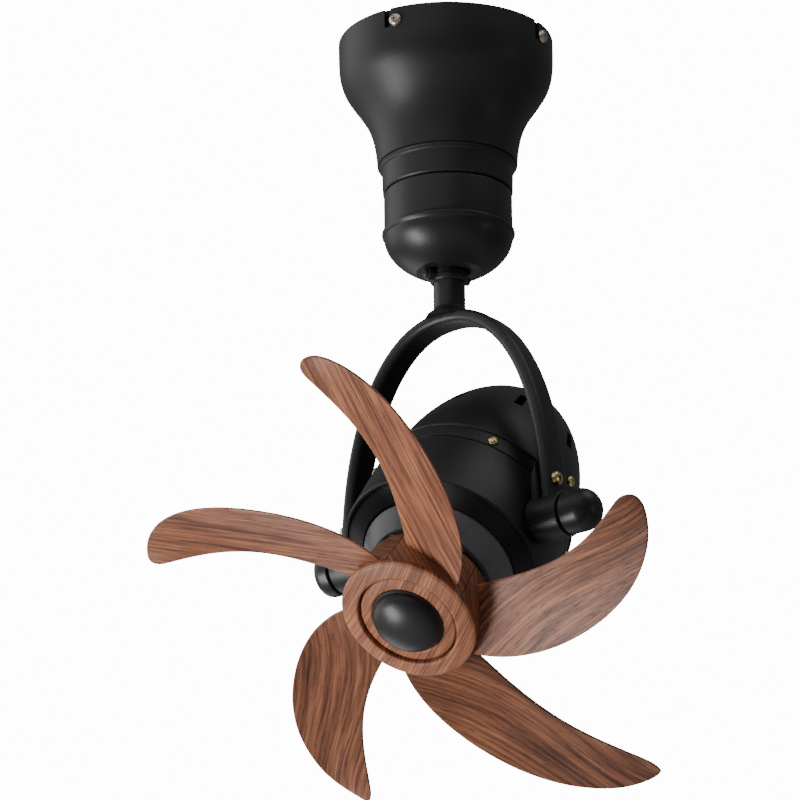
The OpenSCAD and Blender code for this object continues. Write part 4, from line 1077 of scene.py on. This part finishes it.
end_cap_r = 16.5
end_cap_l = 13.5
cap_mesh = grip("end_cap_turned", end_cap_r, end_cap_l, 0.4 * end_cap_r)
cap_mesh.transform(pivot @ Matrix.Translation((-cap_in * MM, 0, 0)) @ tilt_axis.inverted())
end_cap = joined("end_cap_turned", [cap_mesh], knob_finish)
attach(end_cap, "head")
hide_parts("end_cap_left")
fibre = plastic("washer_fibre", (0.012, 0.012, 0.012), (0.006, 0.006, 0.006), 0.75, grain=1500.0)
refinish(fibre, "pivot_washers")


# ---- Turning cone and hub core ----
# A spun aluminium cone, coated satin black, turns with the hub; its coat is given a dark grey
# that paints in the reflections on it. The black cast core takes the screws of the wooden
# blocks, and its rim shows as a dark gap.
hub_r = 48.2
hub_back = 48.7
hub_front = 82.0
cone_hi = hub_back - 7.2
cone_front_r = hub_r - 4.4
core_r = hub_r - 10.2
cap_r = 24.1
# Painted reflection: the cone's coat is a dark grey, lighter than the other black coats.
cone_sheen_coat = powder_coat("cone_sheen_coat", 0.14, 0.3)
cone_t = 1.8
shaft_hole_r = 10.1
cone = turned("cone_spun", [
    (cone_r, cone_lo - 4, 0.4), (cone_r, cone_lo + 0.2, 1.2), (cone_front_r, cone_hi, 1.6),
    (shaft_hole_r, cone_hi), (shaft_hole_r, cone_hi - cone_t), (cone_front_r - cone_t, cone_hi - cone_t),
    (cone_r - 2, cone_lo - 0.4), (cone_r - 2, cone_lo - 4)], cone_sheen_coat, place=head, steps=192)
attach(cone, "rotor")
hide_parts("hub_cone")
core_finish = powder_coat("core_finish", 0.008, 0.5, peel=500.0)
refinish(core_finish, "hub_core")
refinish(bolt_steel, "blade_screws")


# ---- Blades ----
# Five swept blades of solid walnut, each in one piece with its block of the hub,
# carved to a hollow face, rounded at the edges and finished with satin lacquer.
tip_r = 200.4
tip_l = 16.0
tip_power = 2.8
edge_t = 1.8
blade_t = 4.4
camber = 2.5
blade_root_r = core_r + 4.5
blade_fit_r = core_r + 8
blade_phase = 9.3
blade_pitch = 72.0
seam_turn = -1.3
seam_open = 0.42
plank_turn = math.radians(3)
plank_way = Vector((math.cos(plank_turn), math.sin(plank_turn)))
blade_taper = 0.45
tip_thin = 0.35
lead_turn = (-67, -47.1, -31.7, -19.1, -3.2)
trail_turn = (-10.2, -9.5, -6.5, -1.2, 3.5)
lead_rise = (hub_front - 2, hub_front - 3, hub_front - 7.6, hub_front - 20)
trail_rise = (hub_back + 12.7, hub_back + 12.3, hub_back + 13.6, hub_back + 17.6)


def through(knots, s):
    """The value at s of the smooth curve through evenly spaced knots."""
    n = len(knots) - 1
    total = 0
    for i, knot in enumerate(knots):
        share = 1.0
        for k in range(n + 1):
            if k != i:
                share *= (s * n - k) / (i - k)
        total += knot * share
    return total


def plank_spot(at):
    """How far a point, in metres, lies along and across the plank the blade is cut from."""
    flat = Vector(at.xy)
    return flat.dot(plank_way), plank_way.cross(flat) + at.z * 0.8


def blade_mesh(name):
    """One blade as rings round its section, closer together towards the tip."""
    rows = 110
    row_power = 1.6
    strips = 26
    tip_least = 0.0004
    edge_from = 0.93
    form = bmesh.new()
    layer = form.verts.layers.float.new("edge")
    rings = []
    for i in range(rows + 1):
        u = 1 - (1 - i / rows) ** row_power
        r = blade_root_r + (tip_r - blade_root_r) * u
        v = max(0, (r - blade_fit_r) / (tip_r - blade_fit_r))
        past = max(0, (r - tip_r + tip_l) / tip_l)
        squeeze = max(tip_least, 1 - past ** tip_power) ** (1 / tip_power)
        lead, trail = math.radians(through(lead_turn, v)), math.radians(through(trail_turn, v))
        chord = max(1e-6, abs(trail - lead) * r)
        soft = min(0.5, edge_t / 2 / (chord * squeeze / 2))
        ring = []
        for k in range(2 * strips):
            front = k < strips
            turn = math.pi * (k if front else 2 * strips - k) / strips
            s = 0.5 - 0.5 * math.cos(turn)
            w = 0.5 + (s - 0.5) * squeeze
            off = abs(2 * s - 1)
            rim = math.sqrt(max(0, 1 - max(0, (off - 1 + soft) / soft) ** 2))
            body = math.sqrt(max(0, 1 - off * off)) * (1 - blade_taper * v)
            full = edge_t * rim + (blade_t - edge_t) * body
            rise = through(lead_rise, v) * (1 - w) + through(trail_rise, v) * w
            bow = camber * 4 * w * (1 - w) * min(1, 3 * v)
            angle = lead * (1 - w) + trail * w
            thinned = full * (tip_thin + (1 - tip_thin) * squeeze)
            height = rise - bow + (1 if front else -1) * thinned / 2
            vert = form.verts.new((r * math.cos(angle) * MM, r * math.sin(angle) * MM, height * MM))
            vert[layer] = max(0.0, (off - edge_from) / (1 - edge_from))
            ring.append(vert)
        rings.append(ring)
    skinned(form, rings)
    bmesh.ops.recalc_face_normals(form, faces=form.faces)
    return finished(form, name)


def lay_grain(mesh, rule):
    """Lays the wood's grain by a rule from a point, in metres, to (along, across)."""
    layer = mesh.uv_layers.new(name="grain")
    for loop in mesh.loops:
        layer.data[loop.index].uv = rule(mesh.vertices[loop.vertex_index].co)


def hub_side(height):
    """Radius of the hub's slanting side."""
    return hub_r - 3.6 + 3.2 * (height - hub_back) / (hub_front - hub_back)


# Walnut: fine straight streaks over broader bands, with short dark pores.
walnut_grain, enter, leave = grouped(
    "walnut_grain", {"Length": 0.0, "Across": 0.0, "Plank": 0.0, "Wave": 0.0015, "Fine": 650.0},
    ["Streak", "Band", "Pore", "Height"])
bend = node(walnut_grain, "CombineXYZ", {
    0: reckon(walnut_grain, "MULTIPLY", enter.outputs["Length"], 16.0),
    1: reckon(walnut_grain, "MULTIPLY", enter.outputs["Across"], 34.0)})
sway = node(walnut_grain, "TexNoise", {"Vector": bend.outputs[0], "Scale": 1.0, "Detail": 2.0})
sway_off = reckon(walnut_grain, "SUBTRACT", sway.outputs[0], 0.5)
across = reckon(walnut_grain, "MULTIPLY_ADD", sway_off, enter.outputs["Wave"], enter.outputs["Across"])


def grain_noise(along_scale, across_scale, shift, detail, roughness):
    """Noise drawn out along the grain."""
    lay = node(walnut_grain, "CombineXYZ", {
        0: reckon(walnut_grain, "MULTIPLY", enter.outputs["Length"], along_scale),
        1: reckon(walnut_grain, "MULTIPLY", across, across_scale),
        2: reckon(walnut_grain, "ADD", enter.outputs["Plank"], shift)})
    return node(walnut_grain, "TexNoise", {
        "Vector": lay.outputs[0], "Scale": 1.0, "Detail": detail, "Roughness": roughness}).outputs[0]


streak = grain_noise(19.0, enter.outputs["Fine"], 1.0, 4.0, 0.6)
band = grain_noise(8.0, 150.0, 8.0, 3.0, 0.55)
pore = grain_noise(90.0, 1500.0, 15.0, 1.0, 0.5)
pore = node(walnut_grain, "MapRange", {0: pore, 1: 0.60, 2: 0.72, 3: 0.0, 4: 1.0}).outputs[0]
height = reckon(walnut_grain, "MULTIPLY_ADD", pore, -1.0, streak)
put_out(walnut_grain, leave, Streak=streak, Band=band, Pore=pore, Height=height)


def walnut(name, plank, tone, tip_shade, wave=0.0015, fine=650.0):
    """Lacquered walnut, its grain along the mesh's grain map. Its colour is scaled by one factor
    near the root and another at the tip, a painted shade on the blades. Each number of plank is another
    board."""
    made, tree = new_material(name)
    lay = node(tree, "UVMap", uv_map="grain")
    split = node(tree, "SeparateXYZ", {0: lay.outputs[0]})
    wood = place_group(tree, walnut_grain, Length=split.outputs[0], Across=split.outputs[1],
                       Plank=plank, Wave=wave, Fine=fine)
    mid = reckon(tree, "MULTIPLY", wood["Band"], 0.38)
    mid = reckon(tree, "MULTIPLY_ADD", wood["Streak"], 0.62, mid)
    tint = ramp(tree, mid, (0.36, (0.052, 0.015, 0.008)), (0.5, (0.20, 0.070, 0.034)),
                (0.66, (0.42, 0.165, 0.08)))
    pitted = node(tree, "Mix", {0: reckon(tree, "MULTIPLY", wood["Pore"], 0.55),
                                6: tint, 7: (0.03, 0.009, 0.004, 1)}, data_type="RGBA")
    # Painted highlight: the rounded edges, by the mesh's edge mark, are mixed towards a lighter brown.
    edge = node(tree, "Attribute", attribute_name="edge")
    soft = reckon(tree, "MULTIPLY", edge.outputs["Fac"], 0.22)
    rim_highlighted = node(tree, "Mix", {0: soft, 6: pitted.outputs[2], 7: (0.40, 0.19, 0.11, 1)},
                 data_type="RGBA")
    # Painted shade: the colour is scaled from the root factor to the tip factor along the blade.
    depth = node(tree, "MapRange", {0: split.outputs[0], 1: 0.06, 2: 0.2, 3: tone, 4: tip_shade})
    shade_toned = node(tree, "VectorMath", {0: rim_highlighted.outputs[2], "Scale": depth.outputs[0]}, operation="SCALE")
    rough = reckon(tree, "MULTIPLY_ADD", wood["Streak"], -0.16, 0.56)
    rough = reckon(tree, "MULTIPLY_ADD", wood["Pore"], 0.12, rough)
    bump = node(tree, "Bump", {"Height": wood["Height"], "Distance": 0.00012, "Strength": 0.6})
    surfaced(tree, {
        "Base Color": shade_toned.outputs[0], "Roughness": rough, "Normal": bump.outputs[0],
        "Specular IOR Level": 0.25, "Coat Weight": 0.05, "Coat Roughness": 0.4})
    return made


board_step = 2.3
# Root and tip factors of each blade: painted shade, lighter on the top blade and darker on the lower blades
# and at the right-hand tips, where less light falls.
blade_shade_tones = ((1.0, 0.62), (1.1, 1.03), (0.98, 0.80), (0.76, 0.78), (0.78, 0.60))
for index, (tone, tip_shade) in enumerate(blade_shade_tones):
    sheet = blade_mesh("blade")
    block = lathe("block", [
        (core_r + 0.1, hub_back), (hub_side(hub_back), hub_back, 0.5),
        (hub_side(hub_front), hub_front, 0.15), (core_r + 0.1, hub_front)],
        steps=180, sweep=(seam_turn - blade_pitch + seam_open, seam_turn - seam_open))
    for mesh in (sheet, block):
        lay_grain(mesh, plank_spot)
        mesh.transform(head @ Matrix.Rotation(math.radians(blade_phase + index * blade_pitch), 4, "Z"))
    wood = walnut(f"blade_walnut_{index + 1}", board_step * index, tone, tip_shade)
    wing = joined(f"walnut_blade_{index + 1}", [sheet, block], wood)
    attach(wing, "rotor")
    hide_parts(f"blade_{index + 1}")


# ---- Hub rings ----
# Two turned walnut rings glued to the front of the blocks: a broad one with a
# rounded face, and a sunk inner one round the black cap.
ring_low = hub_front + 0.2
ring_in = hub_r - 13
inner_r = ring_in - 1
inner_top = ring_low + 3.4
outer_ring = lathe("outer_ring", [
    (ring_in, ring_low), (hub_r - 0.5, ring_low, 0.4), (hub_r, ring_low + 1.4, 0.8),
    (hub_r - 0.5, ring_low + 2.9, 0.8), (hub_r - 2.6, ring_low + 4.2, 1.6),
    (ring_in + 2, ring_low + 5.8, 1.0), (ring_in + 0.6, ring_low + 5.6, 0.6), (ring_in, ring_low + 4.8, 0.5)],
    steps=192)
inner_ring = lathe("inner_ring", [
    (cap_r + 1.4, ring_low), (inner_r, ring_low), (inner_r, inner_top - 1, 0.5),
    (inner_r - 1.2, inner_top, 0.8), (cap_r + 2.6, inner_top + 0.8, 0.6), (cap_r + 1.4, inner_top, 0.4)],
    steps=192)
ring_walnut = walnut("ring_walnut", 14.0, 1.1, 1.1, wave=0.003, fine=800.0)
for mesh in (outer_ring, inner_ring):
    lay_grain(mesh, lambda p: (p.x * 0.8 + p.y * 0.6, p.y * 0.8 - p.x * 0.6 + p.z * 0.4))
    mesh.transform(head)
hub_rings = joined("walnut_rings", [outer_ring, inner_ring], ring_walnut)
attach(hub_rings, "rotor")
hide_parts("hub_ring")


# ---- Centre cap ----
# A spun cap, coated satin black, closes the middle of the hub. It snaps into the
# inner ring over the end of the shaft.
dome_foot = hub_front + 5.1
cap_h = 13.0
cap_wall = 2.0
cap_dome = quarter(0, dome_foot, cap_r, cap_h)
cap_under = quarter(0, dome_foot, cap_r - cap_wall, cap_h - cap_wall)[::-1]
cap_dome[-1] = (0, dome_foot + cap_h)
cap_under[0] = (0, dome_foot + cap_h - cap_wall)
cap_coat = powder_coat("cap_coat", 0.012, 0.37, peel=1000.0)
centre_cap = turned("cap_spun", [
    (cap_r + 1.2, ring_low), (cap_r + 1.2, dome_foot - 1, 0.3), *cap_dome, *cap_under,
    (cap_r - cap_wall, ring_low)], cap_coat, place=head)
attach(centre_cap, "rotor")
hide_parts("center_cap")
